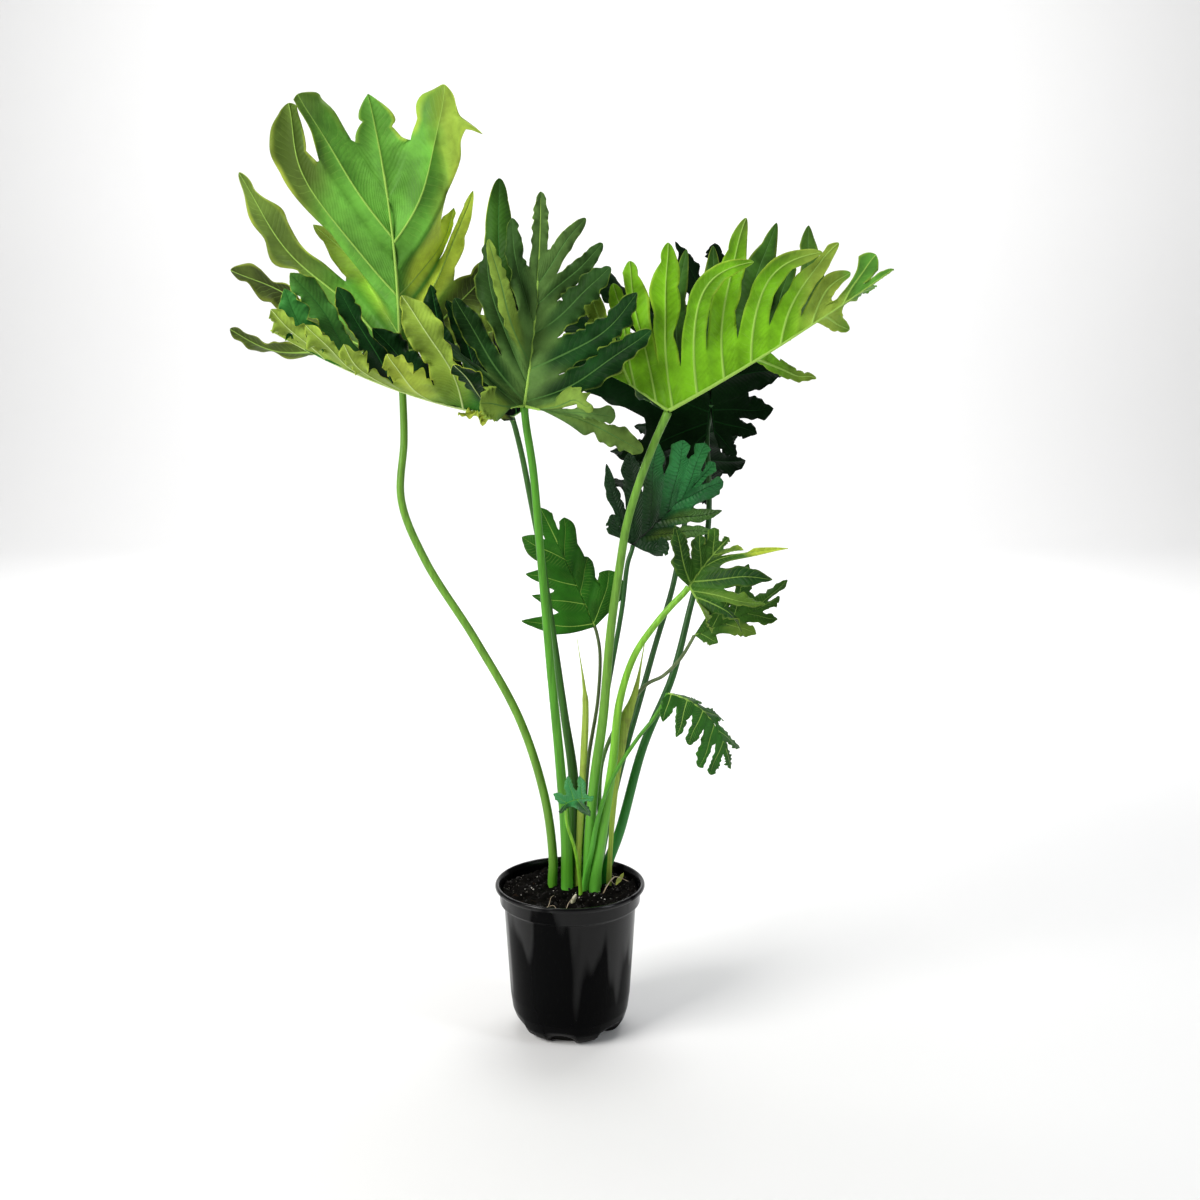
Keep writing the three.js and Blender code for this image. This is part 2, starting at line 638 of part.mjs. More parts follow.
// Gives a sheet its thickness: the same triangles above and below, joined at the edges
function thicken(sheet) {
  const { points, triangles, relief } = sheet;
  const open = new Map();
  const faces = triangles.map(([a, b, c]) => {
    [[a, b], [b, c], [c, a]].forEach(([from, to]) => {
      if (!open.delete(`${to},${from}`)) {
        open.set(`${from},${to}`, [from, to]);
      }
    });
    const span = points[b].clone().sub(points[a]);
    return span.cross(points[c].clone().sub(points[a]));
  });
  const facing = facings(sheet, faces);
  faces.forEach((face) => face.normalize());
  const lean = points.map(() => 1);
  triangles.forEach((corners, n) => corners.forEach((corner) => {
    lean[corner] = Math.min(lean[corner], Math.max(LEAST_LEAN, faces[n].dot(facing[corner])));
  }));
  const shift = (point, n, by) => point.clone().addScaledVector(facing[n], by / lean[n]);
  const upper = points.map((point, n) => shift(point, n, BLADE / 2));
  const lower = points.map((point, n) => shift(point, n, -BLADE / 2 - relief[n] * lean[n]));
  const count = points.length;
  const index = [];
  triangles.forEach(([a, b, c]) => index.push(a, b, c, count + a, count + c, count + b));
  open.forEach(([from, to]) => index.push(from, count + from, count + to, from, count + to, to));
  return solid([...upper, ...lower], index);
}

function solid(points, index) {
  const geometry = new THREE.BufferGeometry();
  geometry.setFromPoints(points);
  geometry.setIndex(index);
  return geometry;
}

function bladeGeometry(leaf) {
  const attach = vec(leaf.attach);
  const midrib = ribCurve(attach, attach.clone().add(vec(leaf.tip)), vec(leaf.bow));
  const halves = [RIGHT, LEFT].map((side) => layOutHalf(leaf, midrib, attach, side));
  const shared = halves.flatMap((half) => placesOf(half, leaf.detail)).filter((place) => place >= 0);
  const sheet = new Sheet();
  halves.forEach((half) => {
    const own = placesOf(half, leaf.detail).filter((place) => place < 0);
    const places = [...new Set([...own, ...shared])].sort((a, b) => a - b);
    addHalf(sheet, half, places, leaf.detail);
  });
  return thicken(sheet);
}

// A stalk or sheath: rings of a flattened round section along a curve, closed at both ends
function limb(curve, steps, sides, radiusAt, flatness = 1) {
  const points = [];
  const index = [];
  steps.forEach((share) => {
    const centre = curve.getPoint(share);
    const along = curve.getTangent(share);
    const across = new THREE.Vector3(1, 0, 0).addScaledVector(along, -along.x).normalize();
    const back = new THREE.Vector3().crossVectors(along, across);
    for (let n = 0; n < sides; n += 1) {
      const angle = 2 * Math.PI * n / sides;
      const point = centre.clone().addScaledVector(across, radiusAt(share) * Math.cos(angle));
      points.push(point.addScaledVector(back, flatness * radiusAt(share) * Math.sin(angle)));
    }
  });
  for (let ring = 0; ring + 1 < steps.length; ring += 1) {
    for (let n = 0; n < sides; n += 1) {
      const a = ring * sides + n;
      const b = ring * sides + (n + 1) % sides;
      index.push(a, b, b + sides, a, b + sides, a + sides);
    }
  }
  const top = (steps.length - 1) * sides;
  for (let n = 1; n + 1 < sides; n += 1) {
    index.push(0, n + 1, n, top, top + n, top + n + 1);
  }
  return solid(points, index);
}

// The curve of a stalk, from its foot in the soil to just under its blade
function stalkCurve({ points }, end) {
  const foot = vec(points[0]);
  const buried = new THREE.Vector3(foot.x, foot.y, SOIL_TOP - BURIED);
  return new THREE.CatmullRomCurve3([buried, ...points.map(vec), ...end], false, 'centripetal');
}

function stalkRadius(radius) {
  return (share) => radius * (1 + 0.2 * Math.exp(-share * 12)) * (1 - 0.22 * share);
}

function stalkShape(leaf) {
  const attach = vec(leaf.attach);
  const last = vec(leaf.stalk.points[leaf.stalk.points.length - 1]);
  const end = attach.clone().add(last.clone().sub(attach).setLength(leaf.seat));
  return stalkCurve(leaf.stalk, [end]);
}

const STALK_STEPS = evenSteps(12);
const STALK_SIDES = 6;
const SHEATH_STEPS = evenSteps(8);

function stalkGeometry(leaf) {
  return limb(stalkShape(leaf), STALK_STEPS, STALK_SIDES, stalkRadius(leaf.stalk.radius));
}

// The plain hole that a stalk stands in: its own foot, grown by the gap on all sides
function socket(curve, steps, radiusAt, flatness = 1) {
  const above = steps.findIndex((share) => curve.getPoint(share).z > SOIL_TOP + 6);
  const grown = (share) => radiusAt(share) + 1.5 * GAP / flatness;
  const hole = limb(curve, steps.slice(0, above + 1), STALK_SIDES, grown, flatness);
  const { position } = hole.attributes;
  for (let n = 0; n < STALK_SIDES; n += 1) {
    position.setZ(n, position.getZ(n) - GAP);
  }
  return hole;
}

// Manifold solids from geometries, and back
function toManifold(geometry) {
  const bare = geometry.clone();
  bare.deleteAttribute('normal');
  bare.deleteAttribute('uv');
  const merged = mergeVertices(bare, 1e-4);
  return new wasm.Manifold(new wasm.Mesh({
    numProp: 3,
    vertProperties: merged.attributes.position.array,
    triVerts: new Uint32Array(merged.index.array),
  }));
}

function toGeometry(manifold) {
  const { vertProperties, triVerts } = manifold.getMesh();
  const geometry = new THREE.BufferGeometry();
  geometry.setAttribute('position', new THREE.BufferAttribute(vertProperties, 3));
  geometry.setIndex(new THREE.BufferAttribute(triVerts, 1));
  return geometry;
}

// How far the pot's foot is raised at an angle by the arched notches in its edge
function notchRise(angle) {
  const turn = 2 * Math.PI / NOTCH_COUNT;
  const offset = ((angle - FIRST_NOTCH) % turn + 1.5 * turn) % turn - turn / 2;
  const share = Math.min(1, Math.abs(offset) / NOTCH_HALF_ANGLE);
  return NOTCH_HEIGHT * Math.sqrt(1 - share ** 2);
}

// Turns a profile of [radius, height, share of the rise] round the axis. Quads are split
// alike on rising and falling stretches, so that a wall keeps its thickness.
function turned(profile, rise) {
  const sheet = new Sheet();
  const ring = (n) => profile.map(([radius, height, share]) => {
    const angle = 2 * Math.PI * (n % POT_FACETS) / POT_FACETS;
    const x = radius * Math.cos(angle);
    const y = radius * Math.sin(angle);
    return sheet.add(new THREE.Vector3(x, y, height + share * rise(angle, x, y)));
  });
  for (let n = 0; n < POT_FACETS; n += 1) {
    const here = ring(n);
    const next = ring(n + 1);
    for (let j = 0; j + 1 < profile.length; j += 1) {
      if (j < profile.falls) {
        sheet.face(here[j], next[j], next[j + 1], RIGHT);
        sheet.face(here[j], next[j + 1], here[j + 1], RIGHT);
      } else {
        sheet.face(here[j], next[j], here[j + 1], RIGHT);
        sheet.face(next[j], next[j + 1], here[j + 1], RIGHT);
      }
    }
  }
  return solid(sheet.points, sheet.triangles.flat());
}

const POT_STEP = POT_HEIGHT - COLLAR_DEPTH;

// The inside of the pot, from the collar down to the middle of the floor
const POT_INSIDE = [
  [COLLAR_RADIUS - WALL, POT_STEP + WALL, 0],
  [BODY_TOP_RADIUS - WALL, POT_STEP - 2, 0],
  [BODY_FOOT_RADIUS - WALL, 15, 0.3],
  [BODY_FOOT_RADIUS - 5, 7, 0.7],
  [BODY_FOOT_RADIUS - 10.5, WALL, 1],
  [FLAT_FOOT_RADIUS + 12, WALL, 1],
  [FLAT_FOOT_RADIUS, WALL, 0],
  [0, WALL, 0],
];

function potGeometry() {
  const outside = [
    [0, 0, 0],
    [FLAT_FOOT_RADIUS, 0, 0],
    [FLAT_FOOT_RADIUS + 12, 0, 1],
    [BODY_FOOT_RADIUS - 9.5, 0, 1],
    [BODY_FOOT_RADIUS - 3, 5, 0.7],
    [BODY_FOOT_RADIUS, 14, 0.3],
    [BODY_TOP_RADIUS, POT_STEP - 2, 0],
    [COLLAR_RADIUS - 0.6, POT_STEP, 0],
    [COLLAR_RADIUS, POT_HEIGHT - 8, 0],
    [RIM_RADIUS - 1, POT_HEIGHT - 6.5, 0],
    [RIM_RADIUS, POT_HEIGHT - 3, 0],
    [RIM_RADIUS - 1.5, POT_HEIGHT, 0],
    [RIM_RADIUS - 5, POT_HEIGHT, 0],
    [COLLAR_RADIUS - WALL, POT_HEIGHT - 6, 0],
  ];
  const profile = [...outside, ...POT_INSIDE];
  profile.falls = outside.length;
  let pot = toManifold(turned(profile, notchRise));
  for (let n = 0; n < NOTCH_COUNT; n += 1) {
    const angle = FIRST_NOTCH + 2 * Math.PI * n / NOTCH_COUNT;
    const hole = new THREE.CylinderGeometry(DRAIN_RADIUS, DRAIN_RADIUS, 6 * WALL + NOTCH_HEIGHT, 8);
    hole.rotateX(Math.PI / 2);
    hole.translate(DRAIN_AT * Math.cos(angle), DRAIN_AT * Math.sin(angle), NOTCH_HEIGHT / 2);
    pot = pot.subtract(toManifold(hole));
  }
  return toGeometry(pot);
}

// The soil fills the pot. Its lumpy top is the stretch after the wall, where share is 2.
const ON_TOP = 2;

function soilRise(x, y) {
  const lumps = Math.sin(x * 0.11 + 1) * Math.cos(y * 0.13) + 0.6 * Math.sin(x * 0.23 - y * 0.19);
  return SOIL_LUMPS * lumps / ON_TOP;
}

function soilGeometry(sockets) {
  const inside = POT_INSIDE.map(([radius, height, share]) => (
    [Math.max(0, radius - GAP), height + GAP, share]
  )).toReversed();
  const top = SOIL_RINGS.map((radius) => [radius, SOIL_TOP, ON_TOP]);
  const profile = [...inside, [COLLAR_RADIUS - WALL - GAP, SOIL_TOP - 3, 0], ...top];
  profile.falls = profile.length;
  const rise = (angle, x, y) => (
    SOIL_RINGS.includes(Math.round(Math.hypot(x, y))) ? soilRise(x, y) : notchRise(angle)
  );
  const body = toManifold(turned(profile, rise));
  return toGeometry(sockets.reduce((soil, hole) => soil.subtract(toManifold(hole)), body));
}

function sheathCurve(sheath) {
  return stalkCurve({ points: sheath.points }, []);
}

const sheathRadius = (sheath) => (share) => 0.5 * sheath.width * (1 - 0.8 * share ** 2);
const SHEATH_FLATNESS = 0.3;

function mesh(name, geometry, finish) {
  const made = new THREE.Mesh(geometry, new THREE.MeshStandardMaterial(finish));
  made.name = name;
  return made;
}

const group = new THREE.Group();
const sockets = [];

Object.entries(LEAVES).forEach(([name, leaf]) => {
  sockets.push(socket(stalkShape(leaf), STALK_STEPS, stalkRadius(leaf.stalk.radius)));
  group.add(mesh(`stalk_${name}`, stalkGeometry(leaf), leafGreen(leaf.color)));
  group.add(mesh(`blade_${name}`, bladeGeometry(leaf), leafGreen(leaf.color)));
});

Object.entries(SHEATHS).forEach(([name, sheath]) => {
  const curve = sheathCurve(sheath);
  sockets.push(socket(curve, SHEATH_STEPS, sheathRadius(sheath), SHEATH_FLATNESS));
  const geometry = limb(curve, SHEATH_STEPS, STALK_SIDES, sheathRadius(sheath), SHEATH_FLATNESS);
  group.add(mesh(name, geometry, leafGreen(0xb9bb6a, 0.7)));
});

group.add(mesh('soil', soilGeometry(sockets), SOIL_BLACK));
group.add(mesh('pot', potGeometry(), POT_BLACK));

export default group;
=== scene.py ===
"""A potted lacy tree philodendron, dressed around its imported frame.

Lengths below are in millimetres in the frame's own axes (+Z up, the plant seen from -Y).
They become metres where a mesh is made.
"""

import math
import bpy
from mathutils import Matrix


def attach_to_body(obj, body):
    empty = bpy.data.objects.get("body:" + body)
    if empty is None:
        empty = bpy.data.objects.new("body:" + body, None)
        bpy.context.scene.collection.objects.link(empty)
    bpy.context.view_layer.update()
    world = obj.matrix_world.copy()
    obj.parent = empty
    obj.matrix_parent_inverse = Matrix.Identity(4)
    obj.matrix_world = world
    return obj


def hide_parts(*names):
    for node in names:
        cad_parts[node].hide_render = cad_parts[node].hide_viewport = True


bl_info = {
    "name": "Potted Lacy Tree Philodendron",
    "version": (1, 0, 0),
    "blender": (4, 5, 0),
    "location": "View3D > Sidebar > Philodendron",
    "description": "Builds the leaves, stalks, soil, pot and studio of a potted philodendron",
    "category": "Add Mesh",
}

import bpy
import numpy as np
from bpy.props import FloatProperty, FloatVectorProperty, IntProperty, PointerProperty
from mathutils import Vector

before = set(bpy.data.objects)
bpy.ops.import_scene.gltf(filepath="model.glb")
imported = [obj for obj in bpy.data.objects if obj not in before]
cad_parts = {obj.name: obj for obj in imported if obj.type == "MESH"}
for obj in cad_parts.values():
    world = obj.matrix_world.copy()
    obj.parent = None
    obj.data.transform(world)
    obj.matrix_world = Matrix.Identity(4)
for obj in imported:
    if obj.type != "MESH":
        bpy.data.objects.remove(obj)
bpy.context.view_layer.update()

MM = 0.001
RIGHT, LEFT = 1, -1

# The pot
POT_HEIGHT = 205.0
RIM_RADIUS = 100.0
COLLAR_RADIUS = 94.0
COLLAR_DEPTH = 26.0
BODY_TOP_RADIUS = 88.0
BODY_FOOT_RADIUS = 79.0
FLAT_FOOT_RADIUS = 50.0
WALL = 1.8
NOTCH_COUNT = 6
NOTCH_HEIGHT = 9.0
NOTCH_HALF_ANGLE = math.radians(17)
FIRST_NOTCH = math.radians(-100)

# The soil: its top's height, how far its lumps and crumbs stand out, the depth of its plug
# and of the step in it, how far the stalks' feet are sunk, and the radius that grains keep to
SOIL_TOP = 192.0
SOIL_LUMPS = 2.2
SOIL_CRUMBS = 0.42
PLUG_DEPTH = 24.0
PLUG_STEP = 12.0
BURIED = 28.0
GRAIN_DISC = 88.0

# How finely a blade is divided: rows before and after the notch between two lobes, and
# columns from a lobe's rib to its edge. The first rows crowd towards the spine and the
# columns towards the rib.
FULL = {"web": 12, "free": 46, "across": 9}
LIGHT = {"web": 10, "free": 30, "across": 8}
TINY = {"web": 8, "free": 16, "across": 6}
ROW_CROWDING = 1.25
COLUMN_CROWDING = 1.7

# The slot between two lobes, and the samples along a rib that find the room beside it
SLOT = 5.0
RIB_SAMPLES = 24

# A lobe's rib: its arch as a share of its length, the number of its waves, the share of it
# from which a hook bends it, and the phase from one lobe to the next
ARCH = 0.04
SWAY_WAVES = 1.15
HOOK_FROM = 0.55
PHASE_STEP = 1.7

# A blade: its thickness, the dome between a rib and an edge as a share of the width, a
# spur's width as a share of the lobe, and how far the main ribs and the lobes' ribs stand
# out below where the stalk has its full radius
BLADE = 0.7
BULGE = 0.08
SPUR_WIDTH = 0.012
RIB_RELIEF = 1.5
LOBE_RIB_RELIEF = 0.8
FULL_STALK = 6.0

# In shares of the stalk's radius: half the width of the midrib and of a basal rib at their
# root and tip, half that of a lobe's rib at its tip and what it gains towards its root, and
# the radius of the round ribs let in below
MIDRIB_HALF = (0.55, 0.12)
BASAL_HALF = (0.5, 0.3)
LOBE_RIB_TIP = 0.05
LOBE_RIB_GAIN = 0.22
MIDRIB_ROUND = 0.42
BASAL_ROUND = 0.3

# What a lobe is like unless its leaf or its own row says otherwise. sinus: the share of
# its length that the web joins to its neighbours. point, taper and belly: its outline.
# room: the share of the room beside it that it may fill. teeth, bite and scallop: its
# notches. curl, ruffle with its waves, and frill with its frills: how it stands off the
# flat. sway: the sideways waves of its rib. shade: its painted light and painted shade.
STYLE = {
    "sinus": 0.4, "point": 2.2, "taper": 0.8, "belly": 0.25, "room": 1.0,
    "teeth": 4.0, "bite": 0.3, "scallop": 0.8, "curl": 0, "ruffle": 0.25, "waves": 2,
    "frill": 0.2, "frills": 7.0, "sway": 0.02, "shade": 0.0,
}
WAVY = {
    "point": 3.4, "taper": 0.6, "belly": 0, "bite": 0.6, "teeth": 5, "scallop": 1.6, "sway": 0.04,
    "ruffle": 0.3, "sinus": 0.45,
}


def lobe(at, tip, width, **more):
    """A lobe leaves the spine at a place and ends at a tip, given from the attachment"""
    return {"at": at, "tip": tip, "width": width, **more}


# Each leaf: its stalk's radius, foot and course, where its blade is attached, its midrib's
# tip and bow, its basal ribs (ears), and the lobes of both halves. A place on the spine is
# 0 to 1 along the midrib and 0 to -1 along the basal rib. A lobe's shade is painted light
# and painted shade, with some real yellowing: it mixes in its leaf's light colour (up to 1)
# or its dark one (down to -1). forward is the side that a lobe's leading edge turns to,
# which otherwise is the spine's own direction. A stalk ends short_by millimetres before
# the attachment.
LEAF = {"tip_sinus": 0.3, "detail": LIGHT, "short_by": 0.6, "ears": {}, "style": {}, "tip_style": {}}
LEAVES = {
    "tall_left": {
        "radius": 6, "foot": 6.6,
        "course": [[-24, 18, 200], [-23, 20, 227], [-33, 22, 311], [-66, 25, 420], [-124, 30, 528],
                   [-189, 38, 633], [-219, 45, 711], [-215, 55, 788], [-216, 60, 850]],
        "attach": [-218, 60, 905], "tip": [-35, 15, 318], "bow": [15, 20, 0],
        "ears": {"right": [-60, 30, -5], "left": [50, 45, -5]},
        "tip_width": 136, "tip_sinus": 0.4, "detail": FULL,
        "tip_style": {"point": 1.0, "taper": 0.9, "teeth": 1.7, "bite": 0.5, "frill": 0},
        "style": {"sinus": 0.6, "belly": 0.1, "ruffle": 0.12, "point": 2.4, "frill": 0.08},
        "right": [
            lobe(-0.9, [-225, 30, 20], 46, bow=[0, 0, -30], shade=-0.7, **WAVY),
            lobe(-0.6, [-224, 60, 108], 66, bow=[10, 10, -25], shade=-0.9, **WAVY),
            lobe(-0.25, [-215, 40, 217], 60, bow=[15, 20, -35], shade=-0.25, **WAVY),
            lobe(0.05, [-122, 100, 163], 44, bow=[10, 20, 0], ruffle=0, sinus=0.5, shade=0.35),
            lobe(0.21, [-147, 5, 300], 66, bow=[-40, 15, -5], hook=[10, 0, 4],
                 point=3, taper=0.6, shade=-0.25, forward=[1, 0, 0.3]),
            lobe(0.44, [-118, -10, 315], 84, bow=[-20, 10, 10], sinus=0.7, point=2.8, taper=0.65,
                 bite=0.15),
        ],
        "left": [
            lobe(-0.85, [148, 99, 30], 45, shade=-0.6),
            lobe(-0.4, [125, 115, 120], 45, shade=-0.9),
            lobe(0.07, [89, 82, 206], 30, bow=[20, 20, -20], ruffle=0.3, frill=0.2, sinus=0.45, shade=1),
            lobe(0.21, [66, 80, 180], 30, bow=[20, 30, 0], ruffle=0.3, frill=0.2, shade=1),
            lobe(0.42, [64, -28, 324], 100, bow=[28, 5, -10], sinus=0.7, point=3.2, taper=0.6, bite=0.12,
                 spur=[-1, 0.86, 44]),
        ],
    },
    "low_left": {
        "radius": 4.5, "foot": 9.5,
        "course": [[8, 24, 200], [6, 24, 260], [4, 26, 345], [-7, 28, 425], [-21, 32, 530],
                   [-36, 34, 635], [-51, 30, 720], [-60, 24, 770], [-68, 18, 806]],
        "attach": [-72, 15, 820], "tip": [-290, -60, 110], "bow": [0, 0, -35],
        "ears": {"right": [25, 40, 15], "left": [4, -20, -2]},
        "tip_width": 54, "detail": FULL,
        "style": {"sinus": 0.38, "ruffle": 0.34, "waves": 3, "frill": 0.3, "frills": 8,
                  "bite": 0.4, "teeth": 5},
        "left": [
            lobe(-0.8, [-62, -84, 10], 44, bow=[0, -10, 0], shade=0.6),
            lobe(0.05, [-62, -100, 72], 46, bow=[-10, -20, 0], shade=-1, frill=0.05, ruffle=0.15),
            lobe(0.21, [-128, -92, 150], 46, bow=[30, -45, 0], point=3.4, taper=0.6, sinus=0.25,
                 bite=0.3),
            lobe(0.34, [-142, -100, 84], 50, bow=[-10, -25, -14], shade=0.5),
            lobe(0.48, [-194, -115, 94], 50, bow=[-10, -25, -14], shade=0.2),
            lobe(0.62, [-236, -115, 118], 50, bow=[0, -25, -14]),
            lobe(0.78, [-282, -100, 135], 46, bow=[0, -20, 0]),
        ],
        "right": [
            lobe(-0.7, [50, 120, 150], 44, shade=-0.5),
            lobe(-0.2, [-21, 60, 300], 34, bow=[0, 30, 0], point=4, taper=0.5, belly=0.2, frill=0.05,
                 bite=0.1, forward=[-1, 0, 0.1]),
            lobe(0.1, [-81, 25, 147], 44, bow=[0, 25, 0], point=3, shade=-0.6),
            lobe(0.22, [-104, 15, 166], 40, bow=[0, 25, 0], point=3, shade=-0.8),
            lobe(0.36, [-176, 15, 112], 44, bow=[0, 30, 0], shade=-1),
            lobe(0.5, [-219, 0, 163], 52, bow=[0, 25, 0], point=3, sinus=0.25, shade=-0.75),
            lobe(0.66, [-270, -25, 180], 62, bow=[10, 20, 0], point=3, sinus=0.25, shade=0.12),
            lobe(0.82, [-272, -62, 160], 38),
        ],
    },
    "centre": {
        "radius": 6, "foot": 8.6,
        "course": [[-4, 6, 200], [-5, 4, 260], [-13, 0, 373], [-25, -8, 510], [-35, -18, 642],
                   [-44, -26, 758], [-52, -32, 815]],
        "attach": [-54, -35, 838], "tip": [20, 65, 262], "bow": [10, -15, 0],
        "ears": {"right": [20, -35, -2], "left": [-15, -28, 0]},
        "tip_width": 21, "detail": FULL,
        "style": {"sinus": 0.42, "point": 3.4, "taper": 0.55, "belly": 0.05, "ruffle": 0.3, "waves": 3.4,
                  "curl": -0.1, "frill": 0.35, "frills": 8, "bite": 0.18, "teeth": 4, "scallop": 1.3},
        "right": [
            lobe(-0.95, [145, -30, -56], 34, bow=[10, -20, 20], bite=0.35, teeth=6, shade=0.3,
                 forward=[0.3, -0.3, 1]),
            lobe(-0.7, [112, -60, -8], 46, bow=[0, -20, 0], bite=0.2, frill=0.3, shade=0.12,
                 forward=[0.1, -0.3, 1]),
            lobe(-0.45, [84, -75, 36], 46, bow=[0, -15, -25], hook=[0, -5, -30], frill=0.3, shade=0.5,
                 forward=[-0.4, 0, 1]),
            lobe(0.02, [153, -60, 96], 38, bow=[15, -10, -25], sinus=0.24, bite=0.08, room=1.25,
                 shade=-0.9),
            lobe(0.17, [140, -35, 135], 40, bow=[15, -5, -20], sinus=0.22, bite=0.08, room=1.25,
                 shade=-0.9),
            lobe(0.33, [105, 5, 170], 38, bow=[10, 0, -10], sinus=0.25, bite=0.14, room=1.25, shade=-0.7),
            lobe(0.46, [98, 45, 197], 24, sinus=0.35, shade=-0.6),
            lobe(0.56, [75, 55, 230], 21, sinus=0.3, frill=0.2, bite=0.1),
        ],
        "left": [
            lobe(-0.9, [-50, -62, 8], 40, ruffle=0.1, shade=0.6, forward=[0, 0, 1]),
            lobe(-0.4, [-103, 15, 83], 34, bow=[-18, 10, 4], shade=-0.8, frill=0.1, ruffle=0.15),
            lobe(0.02, [-82, 0, 132], 34, bow=[-18, -10, 0], sinus=0.3, shade=-0.8),
            lobe(0.1, [-47, 14, 197], 38, bow=[-18, -5, 0], sinus=0.3, shade=-0.6),
            lobe(0.2, [-35, -60, 200], 21, bow=[-14, -34, 0], sinus=0.2, frill=0.3, bite=0.35, teeth=9,
                 shade=0.6, forward=[1, 0, 0.2]),
            lobe(0.37, [-15, 32, 228], 24, bow=[-10, 0, 0], shade=-0.6),
        ],
    },
    "right": {
        "radius": 6.2, "foot": 8.2,
        "course": [[24, 14, 200], [26, 14, 260], [33, 10, 345], [44, 2, 430], [54, -10, 550],
                   [66, -22, 640], [74, -30, 690], [88, -38, 740], [108, -45, 795]],
        "attach": [124, -50, 832], "tip": [275, 20, 172], "bow": [0, 0, -12],
        "ears": {"right": [-48, 10, 32], "left": [-28, 55, 12]},
        "tip_width": 13, "tip_sinus": 0.4, "detail": FULL,
        "tip_style": {"bite": 0.1, "frill": 0},
        "style": {"sinus": 0.18, "point": 3.4, "taper": 0.6, "belly": 0.1, "ruffle": 0.2, "curl": -0.06,
                  "frill": 0.1, "frills": 6, "bite": 0.2},
        "right": [
            lobe(-0.96, [-99, 45, 147], 40, frill=0.4, bite=0.3, teeth=6, shade=0.7, forward=[0.5, 0, 1]),
            lobe(-0.85, [-66, 45, 155], 34, sinus=0.3),
            lobe(-0.3, [-50, 40, 182], 40, sinus=0.35, bite=0.4),
            lobe(0.02, [-7, 5, 203], 44, bow=[-10, -5, 0], hook=[8, 0, 0], bite=0.4),
            lobe(0.13, [97, -30, 180], 27, bow=[-58, -10, 64], shade=-0.25, forward=[1, 0, -0.8]),
            lobe(0.25, [95, 10, 232], 31, bow=[-28, -10, 12], forward=[1, 0, -0.4]),
            lobe(0.37, [182, -10, 192], 28, bow=[-47, -10, 52], shade=-0.2, forward=[1, 0, -0.8]),
            lobe(0.5, [206, 5, 202], 28, bow=[-24, -10, 19], forward=[1, 0, -0.8]),
            lobe(0.64, [222, 20, 168], 29, bow=[-14, 0, 12], bite=0.05, forward=[1, 0, -0.8]),
            lobe(0.78, [253, 20, 189], 40, bow=[-8, 0, 0], sinus=0.4, bite=0.05, frill=0, room=1.8),
        ],
        # The far lobes carry painted shade (down to -1), and the one at 0.47 fills a gap between the front
        # lobes with it
        "left": [
            lobe(-0.7, [-60, 140, 95], 36, shade=-0.9),
            lobe(0.03, [23, 125, 200], 28, bow=[0, 35, -30], shade=-0.9),
            lobe(0.16, [66, 140, 203], 46, bow=[0, 40, -35], point=1.5, belly=0.4, shade=-1),
            lobe(0.28, [140, 135, 234], 50, bow=[0, 40, -40], point=1.5, belly=0.4, shade=-1),
            lobe(0.4, [186, 60, 26], 18, bow=[-5, 30, 6], frill=0.5, ruffle=0.4, bite=0.45, teeth=6,
                 hook=[4, 0, 12], shade=-0.3),
            lobe(0.47, [159, 110, 183], 46, bow=[0, 40, -30], belly=0.3, shade=-1),
            lobe(0.54, [184, 115, 228], 48, bow=[10, 45, -35], point=1.5, belly=0.4, shade=-0.8),
            lobe(0.7, [228, 55, 98], 20, bow=[0, 15, 0]),
            lobe(0.84, [264, 85, 150], 20, bow=[0, 10, 0]),
        ],
    },
    # Painted shade: this leaf is coloured near-black for the shade behind the crown, and its lobes at -0.25
    # and 0.05 reach out behind the centre leaf so that dark shows in the gaps between that leaf's lobes
    "shaded": {
        "radius": 4.5, "foot": 7.6,
        "course": [[45, 30, 200], [67, 32, 265], [98, 48, 377], [137, 68, 468], [161, 86, 558],
                   [184, 110, 649], [188, 126, 702], [185, 142, 792], [188, 138, 812]],
        "attach": [189, 130, 830], "tip": [10, 105, 215], "bow": [0, 30, 0],
        "ears": {"right": [4, -14, -40], "left": [-6, -14, -44]},
        "tip_width": 46,
        "style": {"sinus": 0.5, "belly": 0.15},
        "right": [
            lobe(-0.85, [34, -12, -68], 26),
            lobe(-0.55, [62, -8, -38], 28),
            lobe(-0.2, [85, 10, -8], 38),
            lobe(0.15, [105, 45, 42], 46),
            lobe(0.4, [90, 80, 135], 48),
            lobe(0.6, [80, 120, 150], 34),
        ],
        "left": [
            lobe(-0.85, [-62, -12, -88], 30),
            lobe(-0.55, [-122, -6, -72], 34),
            lobe(-0.25, [-190, 30, 58], 66, bite=0.1, shade=0.5, point=5, taper=0.5),
            lobe(0.05, [-222, 45, 122], 76, bite=0.1, shade=0.5, point=5, taper=0.5),
            lobe(0.18, [-165, 55, 180], 60, shade=0.3),
            lobe(0.3, [-95, 65, 140], 48),
            lobe(0.52, [-46, 75, 216], 36, sinus=0.35),
        ],
    },
    # Painted shade: like the shaded leaf, this one is coloured near-black
    "rear": {
        "radius": 4.5, "foot": 6,
        "course": [[38, 46, 200], [46, 50, 250], [67, 70, 338], [99, 108, 442], [117, 130, 501],
                   [141, 152, 578], [155, 165, 650], [162, 172, 690]],
        "attach": [165, 175, 705], "tip": [40, 210, 110], "bow": [0, 20, 50],
        "ears": {"right": [6, -30, -6], "left": [-10, -38, -6]},
        "tip_width": 50,
        "style": {"sinus": 0.45},
        "right": [
            lobe(-0.8, [26, -30, -14], 20),
            lobe(-0.1, [46, 10, 30], 36),
            lobe(0.2, [84, 90, 35], 38),
